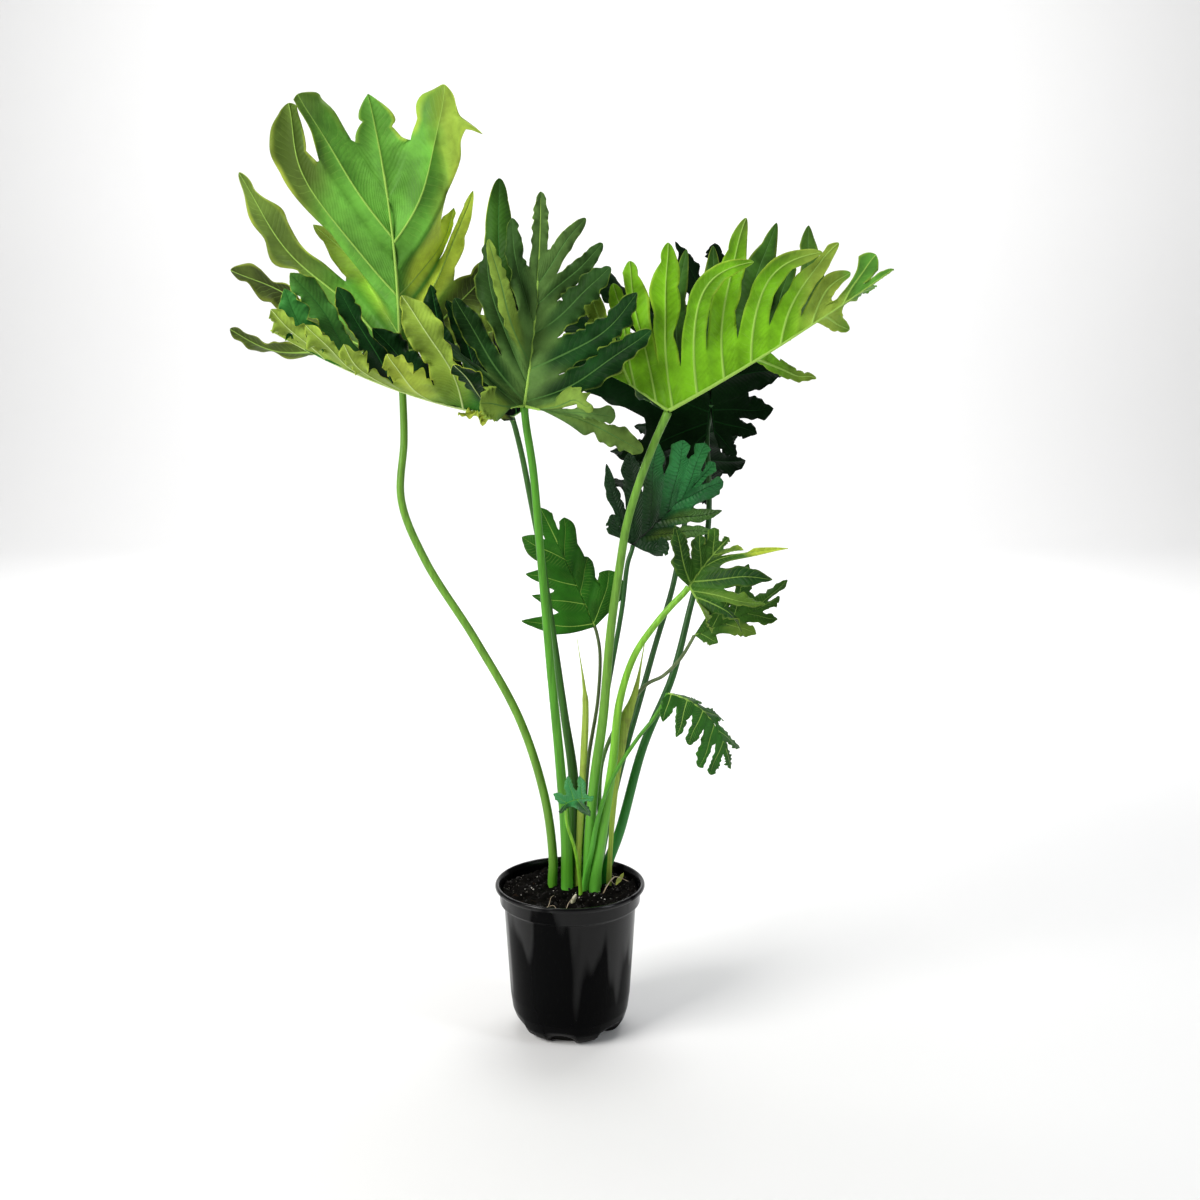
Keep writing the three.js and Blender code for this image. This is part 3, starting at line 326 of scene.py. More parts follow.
            lobe(0.45, [80, 165, 70], 38),
            lobe(0.7, [70, 215, 95], 36),
        ],
        "left": [
            lobe(-0.8, [-50, -60, -20], 40),
            lobe(-0.1, [-115, 0, 15], 46),
            lobe(0.2, [-110, 90, 50], 44),
            lobe(0.45, [-75, 165, 80], 42),
            lobe(0.7, [-30, 215, 100], 38),
        ],
    },
    "small_left": {
        "radius": 2.8, "foot": 4,
        "course": [[13, 39, 200], [17, 42, 260], [24, 56, 355], [37, 65, 437], [40, 69, 500],
                   [36, 70, 527]],
        "short_by": -0.8,
        "attach": [33, 70, 537], "tip": [-72, 5, 160], "bow": [5, 5, -5],
        "tip_width": 44, "tip_sinus": 0.25,
        "style": {"sinus": 0.6, "belly": 0, "ruffle": 0.08, "point": 1.5, "bite": 0.12, "frill": 0.05},
        "right": [
            lobe(0.03, [20, 15, 74], 50, bow=[5, 0, 0], ruffle=0, point=3, taper=0.6, bite=0.2),
            lobe(0.3, [-10, 19, 92], 30, ruffle=0, sinus=0.85),
            lobe(0.6, [-40, 18, 145], 34, sinus=0.72),
        ],
        "left": [
            lobe(0.03, [-98, -10, 12], 24, bow=[0, 0, -12], sinus=0.5),
            lobe(0.2, [-84, -2, 42], 20, sinus=0.5),
            lobe(0.36, [-92, 5, 72], 24, sinus=0.5),
            lobe(0.58, [-97, 5, 120], 36),
        ],
    },
    "mid_right": {
        "radius": 3.8, "foot": 6,
        "course": [[27, 32, 200], [29, 34, 260], [34, 40, 330], [48, 54, 440], [69, 60, 562],
                   [77, 65, 625], [82, 69, 640]],
        "attach": [84, 70, 648], "tip": [108, 15, 108], "bow": [0, -5, -5],
        "ears": {"right": [30, -20, -12], "left": [-18, -5, 10]},
        "tip_width": 40,
        "tip_style": {"point": 1.6, "taper": 0.7, "teeth": 2.2, "bite": 0.4},
        "style": {"sinus": 0.5, "ruffle": 0.2, "point": 2.6, "taper": 0.7, "frill": 0.15, "bite": 0.3},
        "right": [
            lobe(-0.7, [44, -34, 10], 26),
            lobe(0.12, [104, -20, 22], 18, sinus=0.35, shade=0.6),
            lobe(0.32, [117, -5, 45], 16, sinus=0.35, shade=0.6),
            lobe(0.55, [119, 12, 84], 36, sinus=0.6),
        ],
        "left": [
            lobe(-0.9, [-28, -22, 44], 26, sinus=0.3),
            lobe(-0.5, [-37, -10, 108], 18, sinus=0.25, shade=-0.8),
            lobe(0.02, [-4, 8, 122], 32),
            lobe(0.2, [30, 8, 136], 30, shade=0.12),
            lobe(0.42, [66, 5, 138], 38, sinus=0.7),
            lobe(0.62, [94, 10, 134], 30, sinus=0.72),
        ],
    },
    "pale_right": {
        "radius": 5, "foot": 8,
        "course": [[33, 0, 200], [45, 0, 287], [57, 2, 370], [66, 2, 453], [85, 0, 514], [111, -5, 555],
                   [133, -8, 582], [147, -10, 597]],
        "attach": [154, -10, 606], "tip": [50, -4, 64], "bow": [0, 5, 5],
        "ears": {"right": [10, -25, -15]},
        "tip_width": 26,
        "style": {"sinus": 0.4, "ruffle": 0.3, "waves": 2.4, "bite": 0.3, "frill": 0.2},
        "right": [
            lobe(-0.95, [27, -50, -50], 30, sinus=0.5, point=1.5),
            lobe(-0.7, [64, -60, -46], 30, bow=[10, -10, 10], shade=-0.6),
            lobe(-0.3, [92, -55, -14], 24, bow=[0, -10, 0], shade=0.3),
            lobe(0.08, [102, -42, 18], 26, bow=[0, -10, 5], shade=-0.7),
            lobe(0.32, [123, -27, 52], 11, bow=[-15, 0, 16], ruffle=0, frill=0, bite=0, curl=0.9,
                 sinus=0.2),
            lobe(0.6, [68, -14, 50], 22, shade=0.4),
        ],
        "left": [
            lobe(0.04, [-19, -26, 84], 26, bow=[-6, -6, 0], sinus=0.25, shade=-0.5),
            lobe(0.3, [12, -8, 68], 28, sinus=0.6, shade=-0.4),
            lobe(0.6, [32, 2, 76], 22, sinus=0.7),
        ],
    },
    "under_right": {
        "radius": 2.8, "foot": 3.4,
        "course": [[39, 16, 200], [39, 22, 280], [43, 31, 361], [67, 31, 420], [101, 26, 468],
                   [123, 22, 481], [145, 17, 505], [158, 12, 528]],
        "attach": [163, 11, 538], "tip": [112, 15, 48], "bow": [0, 5, -8],
        "tip_width": 24, "detail": TINY,
        "style": {"sinus": 0.4, "ruffle": 0.15},
        "right": [
            lobe(0.06, [30, -12, -8], 18, ruffle=0),
            lobe(0.36, [80, -8, 4], 22, shade=0.4),
            lobe(0.62, [108, 2, 20], 18),
        ],
        "left": [
            lobe(0.2, [50, 30, 50], 26),
            lobe(0.45, [71, 34, 89], 24, shade=-0.5),
            lobe(0.7, [124, 32, 67], 20),
        ],
    },
    "drooping": {
        "radius": 3, "foot": 4,
        "course": [[19, -1, 200], [29, -7, 250], [36, -8, 289], [54, -10, 346], [87, -14, 403],
                   [110, -17, 434], [122, -19, 455]],
        "attach": [128, -20, 468], "tip": [82, -5, -100], "bow": [25, 0, 35],
        "tip_width": 22, "tip_sinus": 0.25,
        "style": {"sinus": 0.3, "ruffle": 0.06, "belly": 0.15},
        "right": [
            lobe(0.03, [-8, -22, -32], 18),
            lobe(0.2, [10, -32, -50], 18),
            lobe(0.4, [24, -36, -58], 20, point=4, taper=0.5),
            lobe(0.58, [40, -32, -90], 26, point=4, taper=0.5),
            lobe(0.76, [52, -34, -98], 22, point=4, taper=0.5),
        ],
        "left": [
            lobe(0.15, [45, 30, -20], 20),
            lobe(0.4, [75, 35, -45], 20),
            lobe(0.65, [97, 38, -85], 18),
        ],
    },
    "young": {
        "radius": 2.3, "foot": 2.9,
        "course": [[14, -12, 200], [8, -28, 256], [-3, -42, 300], [-4, -47, 320]],
        "attach": [-4, -48, 328], "tip": [36, -10, 10], "bow": [0, 0, 6],
        "tip_width": 16, "detail": TINY,
        "style": {"sinus": 0.35, "ruffle": 0.1},
        "right": [
            lobe(0.05, [-6, -22, -6], 12, shade=-0.8),
            lobe(0.4, [32, -25, -8], 12, shade=-0.8),
        ],
        "left": [
            lobe(0.05, [-16, 6, 12], 12),
            lobe(0.3, [2, 4, 36], 14),
            lobe(0.6, [18, 6, 36], 12),
        ],
    },
}
LEAVES = {name: {**LEAF, **leaf} for name, leaf in LEAVES.items()}

# Each sheath: its width, the shares of its length between which it widens, and its course
SHEATHS = {
    "sheath_left": {
        "width": 9, "widens": (0.0, 0.2),
        "course": [[10, 10, 200], [16, 12, 330], [21, 13, 441], [19, 12, 470], [10, 9, 535]],
    },
    "sheath_right": {
        "width": 17, "widens": (0.3, 0.6),
        "course": [[52, 18, 200], [60, 17, 330], [71, 17, 414], [86, 17, 459], [98, 16, 524]],
    },
}


def unit(vectors):
    """The vectors at length 1"""
    return vectors / np.linalg.norm(vectors, axis=-1, keepdims=True)


def smooth(low, high, values):
    """0 below low, 1 above high, and an S-curve between"""
    share = np.clip((values - low) / (high - low), 0, 1)
    return share * share * (3 - 2 * share)


def triangles_of(quads):
    """Two triangles for each quad"""
    quads = quads.reshape(-1, 4)
    return np.concatenate([quads[:, [0, 1, 2]], quads[:, [0, 2, 3]]])


def turned_triangles(rows, columns):
    """The triangles of a grid of points whose rows run round an axis and meet again"""
    index = np.arange(rows * columns).reshape(rows, columns)
    following = np.roll(index, -1, axis=0)
    return triangles_of(np.stack([index[:, :-1], following[:, :-1], following[:, 1:], index[:, 1:]], -1))


def welded(points, triangles, steps):
    """One point for all that lie together to one of so many steps per millimetre, the
    triangles that still have an area, and which ones they are"""
    keys = np.round(points * steps).astype(np.int64)
    _, first, known = np.unique(keys, axis=0, return_index=True, return_inverse=True)
    new = known.reshape(-1)[triangles]
    whole = (new[:, 0] != new[:, 1]) & (new[:, 1] != new[:, 2]) & (new[:, 2] != new[:, 0])
    return points[first], new[whole], whole


def rim_walls(rim, count):
    """The triangles that join a sheet's rim to its copy, which lies count points further"""
    after, before = rim[:, 1], rim[:, 0]
    return np.concatenate([np.stack([after, before, before + count], 1),
                           np.stack([after, before + count, after + count], 1)])


class Rib:
    """A quadratic Bezier curve from root to tip, whose control point is their middle
    moved by bow. A sway adds a sine wave across it that starts at nothing, and a hook
    bends its last stretch."""

    def __init__(self, root, tip, bow, sway=(0, 0, 0), phase=0.0, hook=(0, 0, 0)):
        self.root = np.asarray(root, float)
        self.tip = np.asarray(tip, float)
        self.control = (self.root + self.tip) / 2 + np.asarray(bow, float)
        self.sway = np.asarray(sway, float)
        self.phase = phase
        self.hook = np.asarray(hook, float)

    def at(self, share):
        s = np.asarray(share, float)[..., None]
        bent = (1 - s) ** 2 * self.root + 2 * s * (1 - s) * self.control + s ** 2 * self.tip
        wave = np.sin(2 * math.pi * SWAY_WAVES * s + self.phase) - math.sin(self.phase)
        return bent + self.sway * wave * s + self.hook * smooth(HOOK_FROM, 1.0, s) ** 2

    def along(self, share):
        share = np.asarray(share, float)
        return unit(self.at(share + 0.01) - self.at(share - 0.01))


class Spine:
    """One half's spine: the basal rib, entered backwards, then the midrib"""

    def __init__(self, midrib, attach, ear):
        self.midrib = midrib
        self.basal = Rib(attach, attach + np.array(ear, float), [0, 0, 0]) if ear else None
        self.first = -1.0 if ear else 0.0

    def at(self, place):
        place = np.asarray(place, float)
        points = self.midrib.at(np.maximum(place, 0))
        if self.basal:
            points = np.where(place[..., None] < 0, self.basal.at(np.maximum(-place, 0)), points)
        return points

    def along(self, place):
        return -self.basal.along(-place) if place < 0 else self.midrib.along(place)


def frames_on(along, forward, side):
    """Frames on a rib: across is forward without its part along the rib, and up is along
    times across"""
    across = unit(forward - (along * forward).sum(-1, keepdims=True) * along)
    return across, np.cross(along, across) * side


class SideLobe:
    """A lobe as a rib, the frames on it and its two edges"""

    def __init__(self, leaf, spine, attach, side, spec, number):
        self.style = {**STYLE, **leaf["style"], **spec}
        self.at_place = spec["at"]
        self.width = spec["width"]
        self.side = side
        self.phase = number * PHASE_STEP
        self.before = None
        self.after = None
        root = spine.at(spec["at"])
        tip = attach + np.array(spec["tip"], float)
        self.forward = spine.along(spec["at"])
        if "forward" in spec:
            self.forward = unit(np.array(spec["forward"], float))
        start_up = frames_on(unit(tip - root), self.forward, side)[1]
        reach = np.linalg.norm(tip - root)
        bow = np.array(spec.get("bow", [0, 0, 0]), float) + start_up * ARCH * reach
        across = np.cross(start_up, unit(tip - root))
        sway = (across + 0.6 * start_up) * self.style["sway"] * reach
        self.rib = Rib(root, tip, bow, sway, 1.9 * self.phase, spec.get("hook", [0, 0, 0]))

    def frame(self, share):
        return frames_on(self.rib.along(share), self.forward, self.side)

    def way_sign(self, way):
        return way


class EndLobe:
    """The last stretch of the midrib as a lobe of its own, seen from one half"""

    def __init__(self, leaf, midrib, side, start, face):
        self.style = {**STYLE, **leaf["style"], **leaf["tip_style"], "sinus": leaf["tip_sinus"]}
        self.width = leaf["tip_width"]
        self.side = side
        self.phase = side
        self.face = face
        self.rib = MidribStretch(midrib, start)
        self.before = None
        self.after = None

    def frame(self, share):
        along = self.rib.along(share)
        across = unit(np.cross(along, self.face))
        return across * self.side, np.cross(across, along)

    def way_sign(self, way):
        """Its frame turns with the half already"""
        return 1


class MidribStretch:
    """The midrib from a place to its tip"""

    def __init__(self, midrib, start):
        self.midrib = midrib
        self.start = start

    def at(self, share):
        return self.midrib.at(self.start + (1 - self.start) * np.asarray(share, float))

    def along(self, share):
        return self.midrib.along(self.start + (1 - self.start) * np.asarray(share, float))


def room_to(points, rib):
    """Half the way from points to the nearest point of the next lobe's rib, less half a slot"""
    others = rib.at(np.linspace(0, 1, RIB_SAMPLES + 1))
    gaps = np.linalg.norm(points[:, None] - others[None], axis=2)
    return gaps.min(1) / 2 - SLOT / 2


def half_width(part, free):
    """Half a lobe's width over its free length: a belly of a sine, closed at the tip by a
    power curve"""
    style = part.style
    belly = 1 + style["belly"] * np.sin(math.pi * free)
    return 0.5 * part.width * belly * (1 - free ** style["point"]) ** style["taper"]


def bites(part, way, share, free):
    """The part of the width that is left by the notches along an edge: rounded scallops
    of uneven depth and spacing, from the absolute value of a sine, that fade in past the
    web and out before the tip. The small factors keep the edges from being alike."""
    style = part.style
    turns = style["teeth"] * (share + 0.04 * np.sin(7 * share + part.phase + way))
    wave = np.abs(np.sin(math.pi * (turns + 0.37 * part.phase + 0.31 * way)))
    uneven = 0.7 + 0.5 * np.sin(5 * share + 2.1 * part.phase + 1.3 * way)
    cut = style["bite"] * uneven * (1 - wave ** style["scallop"])
    return 1 - cut * smooth(0.0, 0.2, free) * smooth(1.0, 0.85, free)


def edge(part, share, way):
    """A lobe's edge: its rib moved across by the half width, kept within the room that
    the next lobe leaves, notched, and with a spur if the lobe has one"""
    share = np.atleast_1d(np.asarray(share, float))
    sinus = part.style["sinus"]
    free = np.clip((share - sinus) / (1 - sinus), 0, 1)
    course = part.rib.at(share)
    neighbour = part.before if isinstance(part, EndLobe) or way < 0 else part.after
    reach = half_width(part, free)
    if neighbour:
        reach = np.minimum(reach, part.style["room"] * room_to(course, neighbour.rib))
    reach = reach * bites(part, way, share, free)
    spur_way, spur_at, spur_length = part.style.get("spur", (0, 0, 0))
    if way == spur_way:
        reach = reach + spur_length * np.exp(-((share - spur_at) / SPUR_WIDTH) ** 2)
    across = part.frame(share)[0]
    return course + across * (part.way_sign(way) * reach)[:, None]


class Web:
    """The line from the spine to the bottom of the notch that two lobes share: the mean
    of both ribs' courses, moved so that it starts on the spine and ends on both edges"""

    def __init__(self, start, before, after):
        parts = [part for part in (before, after) if part]
        ways = [1 if part is before else -1 for part in parts]
        self.parts = parts
        ends = [edge(part, part.style["sinus"], way)[0] for part, way in zip(parts, ways)]
        self.start_shift = start - self.course(np.zeros(1))[0]
        self.end_shift = sum(ends) / len(ends) - self.course(np.ones(1))[0]

    def course(self, share):
        courses = [part.rib.at(share * part.style["sinus"]) for part in self.parts]
        return sum(courses) / len(courses)

    def at(self, share):
        share = np.asarray(share, float)
        shift = self.start_shift + (self.end_shift - self.start_shift) * share[..., None]
        return self.course(share) + shift


def lift_off(part, way, share, free, out):
    """How far the blade stands off the flat per unit of width: a low dome between rib and
    edge, and on the free length a curl, a ruffle and finer frills that grow to the edge"""
    style = part.style
    phase = part.phase + way
    loose = np.sin(np.minimum(1, free * 3) * math.pi / 2)
    turns = 2 * math.pi * (share + 0.035 * np.sin(9 * share + phase))
    ruffle = style["ruffle"] * np.sin(style["waves"] * turns + phase)
    frill = style["frill"] * np.sin(style["frills"] * turns + 2.3 * phase)
    rise = style["curl"] + ruffle + frill * out ** 3
    return BULGE * out * (1 - out) * 4 + loose * out * out * rise


class Patch:
    """Half a lobe as a grid: rows run from the spine to the tip, columns from the rib to
    the edge. A point is the mix of the rib's and the edge's, lifted along the frame's up."""

    def __init__(self, part, web, way, detail, places, spine):
        rows, columns = detail["web"], detail["across"]
        inner = (np.arange(rows + 1) / rows) ** ROW_CROWDING
        free = np.sin(0.5 * math.pi * np.arange(1, detail["free"] + 1) / detail["free"])
        sinus = part.style["sinus"]
        self.share = np.concatenate([sinus * inner, sinus + (1 - sinus) * free])
        self.free = np.concatenate([np.zeros(rows + 1), free])
        self.out = (np.arange(columns + 1) / columns) ** COLUMN_CROWDING
        # The edge starts where the web ends, and is back on its own course soon after
        stray = web.at(np.ones(1)) - edge(part, sinus, way)
        loose = edge(part, self.share[rows + 1:], way) + stray * (1 - free[:, None]) ** 5
        border = np.concatenate([web.at(inner), loose])
        course = part.rib.at(self.share)
        span = border - course
        out = self.out[None, :, None]
        points = course[:, None] + span[:, None] * out
        if places:
            on_spine = spine.at(places[0] + (places[1] - places[0]) * self.out)
            fade = np.concatenate([(1 - inner) ** 2, np.zeros(len(free))])
            points = points + (on_spine - points[0])[None] * fade[:, None, None]
        reach = np.linalg.norm(span, axis=1)
        lift = lift_off(part, way, self.share[:, None], self.free[:, None], self.out[None])
        ups = part.frame(self.share)[1]
        self.points = points + ups[:, None] * (lift * reach[:, None])[..., None]
        self.points[-1] = self.points[-1, :1]
        self.reach = reach
        self.way = way
        self.part = part


class Sheet:
    """A blade's grids, gathered into one sheet"""

    def __init__(self):
        self.points = []
        self.triangles = []
        self.marks = []
        self.count = 0

    def add(self, patch, forward_first):
        """Takes a patch's grid as triangles. Marks per point: metres along and across the
        rib, share along the lobe, place from rib to edge, share of its free length, and the
        lobe's shade of painted light and painted shade, which fades out towards the lines
        that lobes share."""
        rows, columns = patch.points.shape[:2]
        index = self.count + np.arange(rows * columns).reshape(rows, columns)
        a, b = index[:-1, :-1], index[1:, :-1]
        c, d = index[1:, 1:], index[:-1, 1:]
        quads = np.stack([a, b, c, d] if forward_first else [d, c, b, a], -1)
        self.triangles.append(triangles_of(quads))
        step = np.linalg.norm(np.diff(patch.points[:, 0], axis=0), axis=1)
        run = np.concatenate([[0], np.cumsum(step)])
        marks = np.zeros((rows, columns, 6))
        marks[..., 0] = run[:, None] * MM
        marks[..., 1] = patch.way * patch.reach[:, None] * patch.out[None] * MM
        marks[..., 2] = patch.share[:, None]
        marks[..., 3] = patch.out[None]
        marks[..., 4] = patch.free[:, None]
        shared = patch.out[None] ** 2 * (1 - np.minimum(1, 6 * patch.free))[:, None]
        marks[..., 5] = patch.part.style["shade"] * smooth(0.0, 0.25, patch.share)[:, None] * (1 - shared)
        self.points.append(patch.points.reshape(-1, 3))
        self.marks.append(marks.reshape(-1, 6))
        self.count += rows * columns

    def weld(self):
        """The sheet's points and triangles, and the marks of each triangle's corners"""
        triangles = np.concatenate(self.triangles)
        points, kept, whole = welded(np.concatenate(self.points), triangles, 200)
        return points, kept, np.concatenate(self.marks)[triangles[whole]]


def point_normals(points, triangles):
    """The area-weighted mean of the normals of the triangles at each point"""
    corners = points[triangles]
    faces = np.cross(corners[:, 1] - corners[:, 0], corners[:, 2] - corners[:, 0])
    sums = np.zeros_like(points)
    for corner in range(3):
        np.add.at(sums, triangles[:, corner], faces)
    length = np.linalg.norm(sums, axis=1, keepdims=True)
    return sums / np.maximum(length, 1e-9)


def rim_edges(triangles):
    """The edges that belong to one triangle only, in that triangle's order"""
    pairs = np.concatenate([triangles[:, [0, 1]], triangles[:, [1, 2]], triangles[:, [2, 0]]])
    owners = np.tile(np.arange(len(triangles)), 3)
    slots = np.repeat(np.arange(3), len(triangles))
    keys = np.sort(pairs, axis=1)
    _, back, counts = np.unique(keys, axis=0, return_inverse=True, return_counts=True)
    alone = counts[back.reshape(-1)] == 1
    return pairs[alone], owners[alone], slots[alone]


def lay_out_half(leaf, midrib, attach, side):
    """The lobes of one half, the places between them on the spine, and their web lines"""
    name = "right" if side == RIGHT else "left"
    spine = Spine(midrib, attach, leaf["ears"].get(name))
    parts = [SideLobe(leaf, spine, attach, side, spec, n) for n, spec in enumerate(leaf[name])]
    places = [part.at_place for part in parts]
    bounds = [spine.first]
    for here, following in zip(places[:-1], places[1:]):
        bounds.append(0.0 if here < 0 <= following else (here + following) / 2)
    bounds.append(places[-1] + 0.3 * (1 - places[-1]))
    end = EndLobe(leaf, midrib, side, bounds[-1], parts[-1].frame(0.0)[1])
    chain = parts + [end]
    for n, part in enumerate(chain):
        part.before = chain[n - 1] if n else None
        part.after = chain[n + 1] if n + 1 < len(chain) else None
    webs = []
    for n, place in enumerate(bounds):
        before = parts[n - 1] if n else None
        webs.append(Web(spine.at(place), before, chain[n]))
    return {"spine": spine, "parts": parts, "bounds": bounds, "webs": webs, "end": end}


def blade_sheet(leaf):
    """Every half lobe of a leaf as a grid, welded into one sheet"""
    attach = np.array(leaf["attach"], float)
    midrib = Rib(attach, attach + np.array(leaf["tip"], float), leaf["bow"])
    detail = leaf["detail"]
    sheet = Sheet()
    ribs = []
    for side in (RIGHT, LEFT):
        half = lay_out_half(leaf, midrib, attach, side)
        bounds = half["bounds"]
        for n, part in enumerate(half["parts"]):
            for way, other in ((-1, n), (1, n + 1)):
                places = (part.at_place, bounds[other])
                patch = Patch(part, half["webs"][other], way, detail, places, half["spine"])
                sheet.add(patch, way * side > 0)
        end = Patch(half["end"], half["webs"][-1], 1, detail, None, half["spine"])
        sheet.add(end, side < 0)
        if half["spine"].basal:
            ribs.append(half["spine"].basal)
    points, triangles, marks = sheet.weld()
    return points, triangles, marks, midrib, ribs


def from_curve(points, curve, radius, halves):
    """Each point's distance to a curve, as a multiple of the rib's half width there, which
    is given at both ends as shares of the stalk's radius"""
    share = np.linspace(0, 1, 60)
    course = curve.at(share)
    gaps = np.linalg.norm(points[:, None] - course[None], axis=2)
    nearest = gaps.argmin(1)
    first, last = halves[0] * radius, halves[1] * radius
    width = first + (last - first) * share[nearest]
    return gaps.min(1) / width


def to_mesh(name, points, faces):
    """A smooth mesh object in metres at the origin"""
    mesh = bpy.data.meshes.new(name)
    mesh.from_pydata(np.asarray(points, float) * MM, [], np.asarray(faces).tolist())
    mesh.polygons.foreach_set("use_smooth", np.ones(len(mesh.polygons), bool))
    mesh.update()
    piece = bpy.data.objects.new(name, mesh)
    bpy.context.scene.collection.objects.link(piece)
    return piece


def corner_values(mesh, name, values):
    """Stores a pair of numbers per face corner as a UV map"""
    layer = mesh.uv_layers.new(name=name)
    layer.data.foreach_set("uv", np.asarray(values, np.float32).reshape(-1))


def centripetal(points, share):
    """A centripetal Catmull-Rom curve through the points, at shares of its span: between
    two points it is the Hermite curve whose tangents weigh the neighbours by the square
    roots of their distances"""
    points = np.asarray(points, float)
    first = 2 * points[0] - points[1]
    last = 2 * points[-1] - points[-2]
    padded = np.concatenate([[first], points, [last]])
    place = np.asarray(share, float) * (len(points) - 1)
    segment = np.minimum(place.astype(int), len(points) - 2)
    t = (place - segment)[:, None]
    p0, p1, p2, p3 = (padded[segment + k] for k in range(4))
    d0, d1, d2 = (np.linalg.norm(b - a, axis=1)[:, None] ** 0.5 for a, b in ((p0, p1), (p1, p2), (p2, p3)))
    t1 = ((p1 - p0) / d0 - (p2 - p0) / (d0 + d1) + (p2 - p1) / d1) * d1
    t2 = ((p2 - p1) / d1 - (p3 - p1) / (d1 + d2) + (p3 - p2) / d2) * d1
    c2 = -3 * p1 + 3 * p2 - 2 * t1 - t2
    c3 = 2 * p1 - 2 * p2 + t1 + t2
    return p1 + t1 * t + c2 * t * t + c3 * t ** 3


def swept(course, profile):
    """Rings carried along a course: profile gives each ring's points across and back.
    The rings keep their turn by reference to +X. Closed at both ends by a middle point."""
    along = unit(np.gradient(course, axis=0))
    across = unit(np.array([1.0, 0, 0]) - along[:, :1] * along)
    back = np.cross(along, across)
    rings, sides = profile.shape[:2]
    points = course[:, None] + across[:, None] * profile[..., :1] + back[:, None] * profile[..., 1:]
    index = np.arange(rings * sides).reshape(rings, sides)
    following = np.roll(index, -1, axis=1)
    quads = np.stack([index[:-1], following[:-1], following[1:], index[1:]], -1)
    ends = rings * sides
    low = np.stack([following[0], index[0], np.full(sides, ends)], 1)
    high = np.stack([index[-1], following[-1], np.full(sides, ends + 1)], 1)
    points = np.concatenate([points.reshape(-1, 3), course[:1], course[-1:]])
    return points, np.concatenate([triangles_of(quads), low, high])


def tube(course, radius, sides):
    """A round tube along a course, with a radius for each of its points"""
    angle = 2 * math.pi * np.arange(sides) / sides
    ring = np.stack([np.cos(angle), np.sin(angle)], -1)
    return swept(course, radius[:, None, None] * ring[None])


def rib_tubes(curves, up, first):
    """Round ribs let into the blade's underside along its main curves: rings that taper
    towards the tip, numbered on from first"""
    share = np.linspace(0, 0.97, 40)
    points, faces = [], []
    for curve, wide in curves:
        size = wide * (0.12 + 0.88 * (1 - share) ** 0.9)
        course = curve.at(share) - unit(up) * (0.45 * size)[:, None]
        made, triangles = tube(course, size, 10)
        faces.append(triangles + first + sum(len(group) for group in points))
        points.append(made)
    return np.concatenate(points), np.concatenate(faces)


def lobe_rib_width(radius, share):
    """Half the width of a lobe's rib, which narrows towards the lobe's tip"""
    return LOBE_RIB_TIP * radius + LOBE_RIB_GAIN * radius * (1 - share)


def make_blade(name, leaf):
    """A leaf blade: the sheet moved half its thickness up and down along its normals,
    closed along its edges, with its ribs raised below as bell curves of the distance to
    the rib"""
    points, triangles, marks, midrib, basal = blade_sheet(leaf)
    radius = leaf["radius"]
    main = from_curve(points, midrib, radius, MIDRIB_HALF)
    for curve in basal:
        main = np.minimum(main, from_curve(points, curve, radius, BASAL_HALF))
    lobe_rib = np.abs(marks[..., 1]) / MM / lobe_rib_width(radius, marks[..., 2])
    low = np.zeros(len(points))
    main_relief = RIB_RELIEF * radius / FULL_STALK * np.exp(-main ** 2)
    lobe_relief = LOBE_RIB_RELIEF * radius / FULL_STALK * np.exp(-lobe_rib ** 2)
    np.maximum.at(low, triangles.reshape(-1), lobe_relief.reshape(-1))
    low = np.maximum(low, main_relief)
    normals = point_normals(points, triangles)
    upper = points + normals * BLADE / 2
    lower = points - normals * (BLADE / 2 + low)[:, None]
    rim, owners, slots = rim_edges(triangles)
    count = len(points)
    under = triangles[:, ::-1] + count
    walls = rim_walls(rim, count)
    round_ribs = [(midrib, MIDRIB_ROUND * radius)] + [(curve, BASAL_ROUND * radius) for curve in basal]
    tubes = rib_tubes(round_ribs, normals[main.argmin()], 2 * count)
    piece = to_mesh(f"leaf_{name}", np.concatenate([upper, lower, tubes[0]]),
                    np.concatenate([triangles, under, walls, tubes[1]]))
    mesh = piece.data
    finish = np.arange(len(mesh.polygons)) >= len(triangles)
    mesh.polygons.foreach_set("material_index", finish.astype(np.int32))
    start = marks[owners, slots]
    end = marks[owners, (slots + 1) % 3]
    wall_marks = np.concatenate([np.stack([end, start, start], 1), np.stack([end, start, end], 1)])
    corner = np.concatenate([marks, marks[:, ::-1], wall_marks])
    ids = np.concatenate([triangles, triangles[:, ::-1], rim[:, [1, 0, 0]], rim[:, [1, 0, 1]]])
    ribs = np.abs(corner[..., 1]) / MM / lobe_rib_width(radius, corner[..., 2])
    on_tubes = np.zeros((len(tubes[1]), 3, 2))
    # The map Shade carries each lobe's painted light and painted shade
    for key, pair in (("Rib", corner[..., [0, 1]]), ("Lobe", corner[..., [3, 4]]),
                      ("Shade", corner[..., [5, 5]]), ("Vein", np.stack([ribs, main[ids]], -1))):
        corner_values(mesh, key, np.concatenate([pair, on_tubes]))
    return piece


def stalk_course(course, share):
    """A stalk's course from its foot in the soil, which stands below its first point"""
    foot = [course[0][0], course[0][1], SOIL_TOP - BURIED]
    return centripetal([foot] + list(course), share)


def long_piece(name, course, profile, share, around):
    """A swept piece whose map Run holds how far round and along it each corner lies"""
    points, faces = swept(course, profile)
    piece = to_mesh(name, points, faces)
    run = np.concatenate([np.repeat(share, len(around)), [0, 1]])
    turn = np.concatenate([np.tile(around, len(share)), [0, 0]])
    corner_values(piece.data, "Run", np.stack([turn[faces], run[faces]], -1))
    return piece


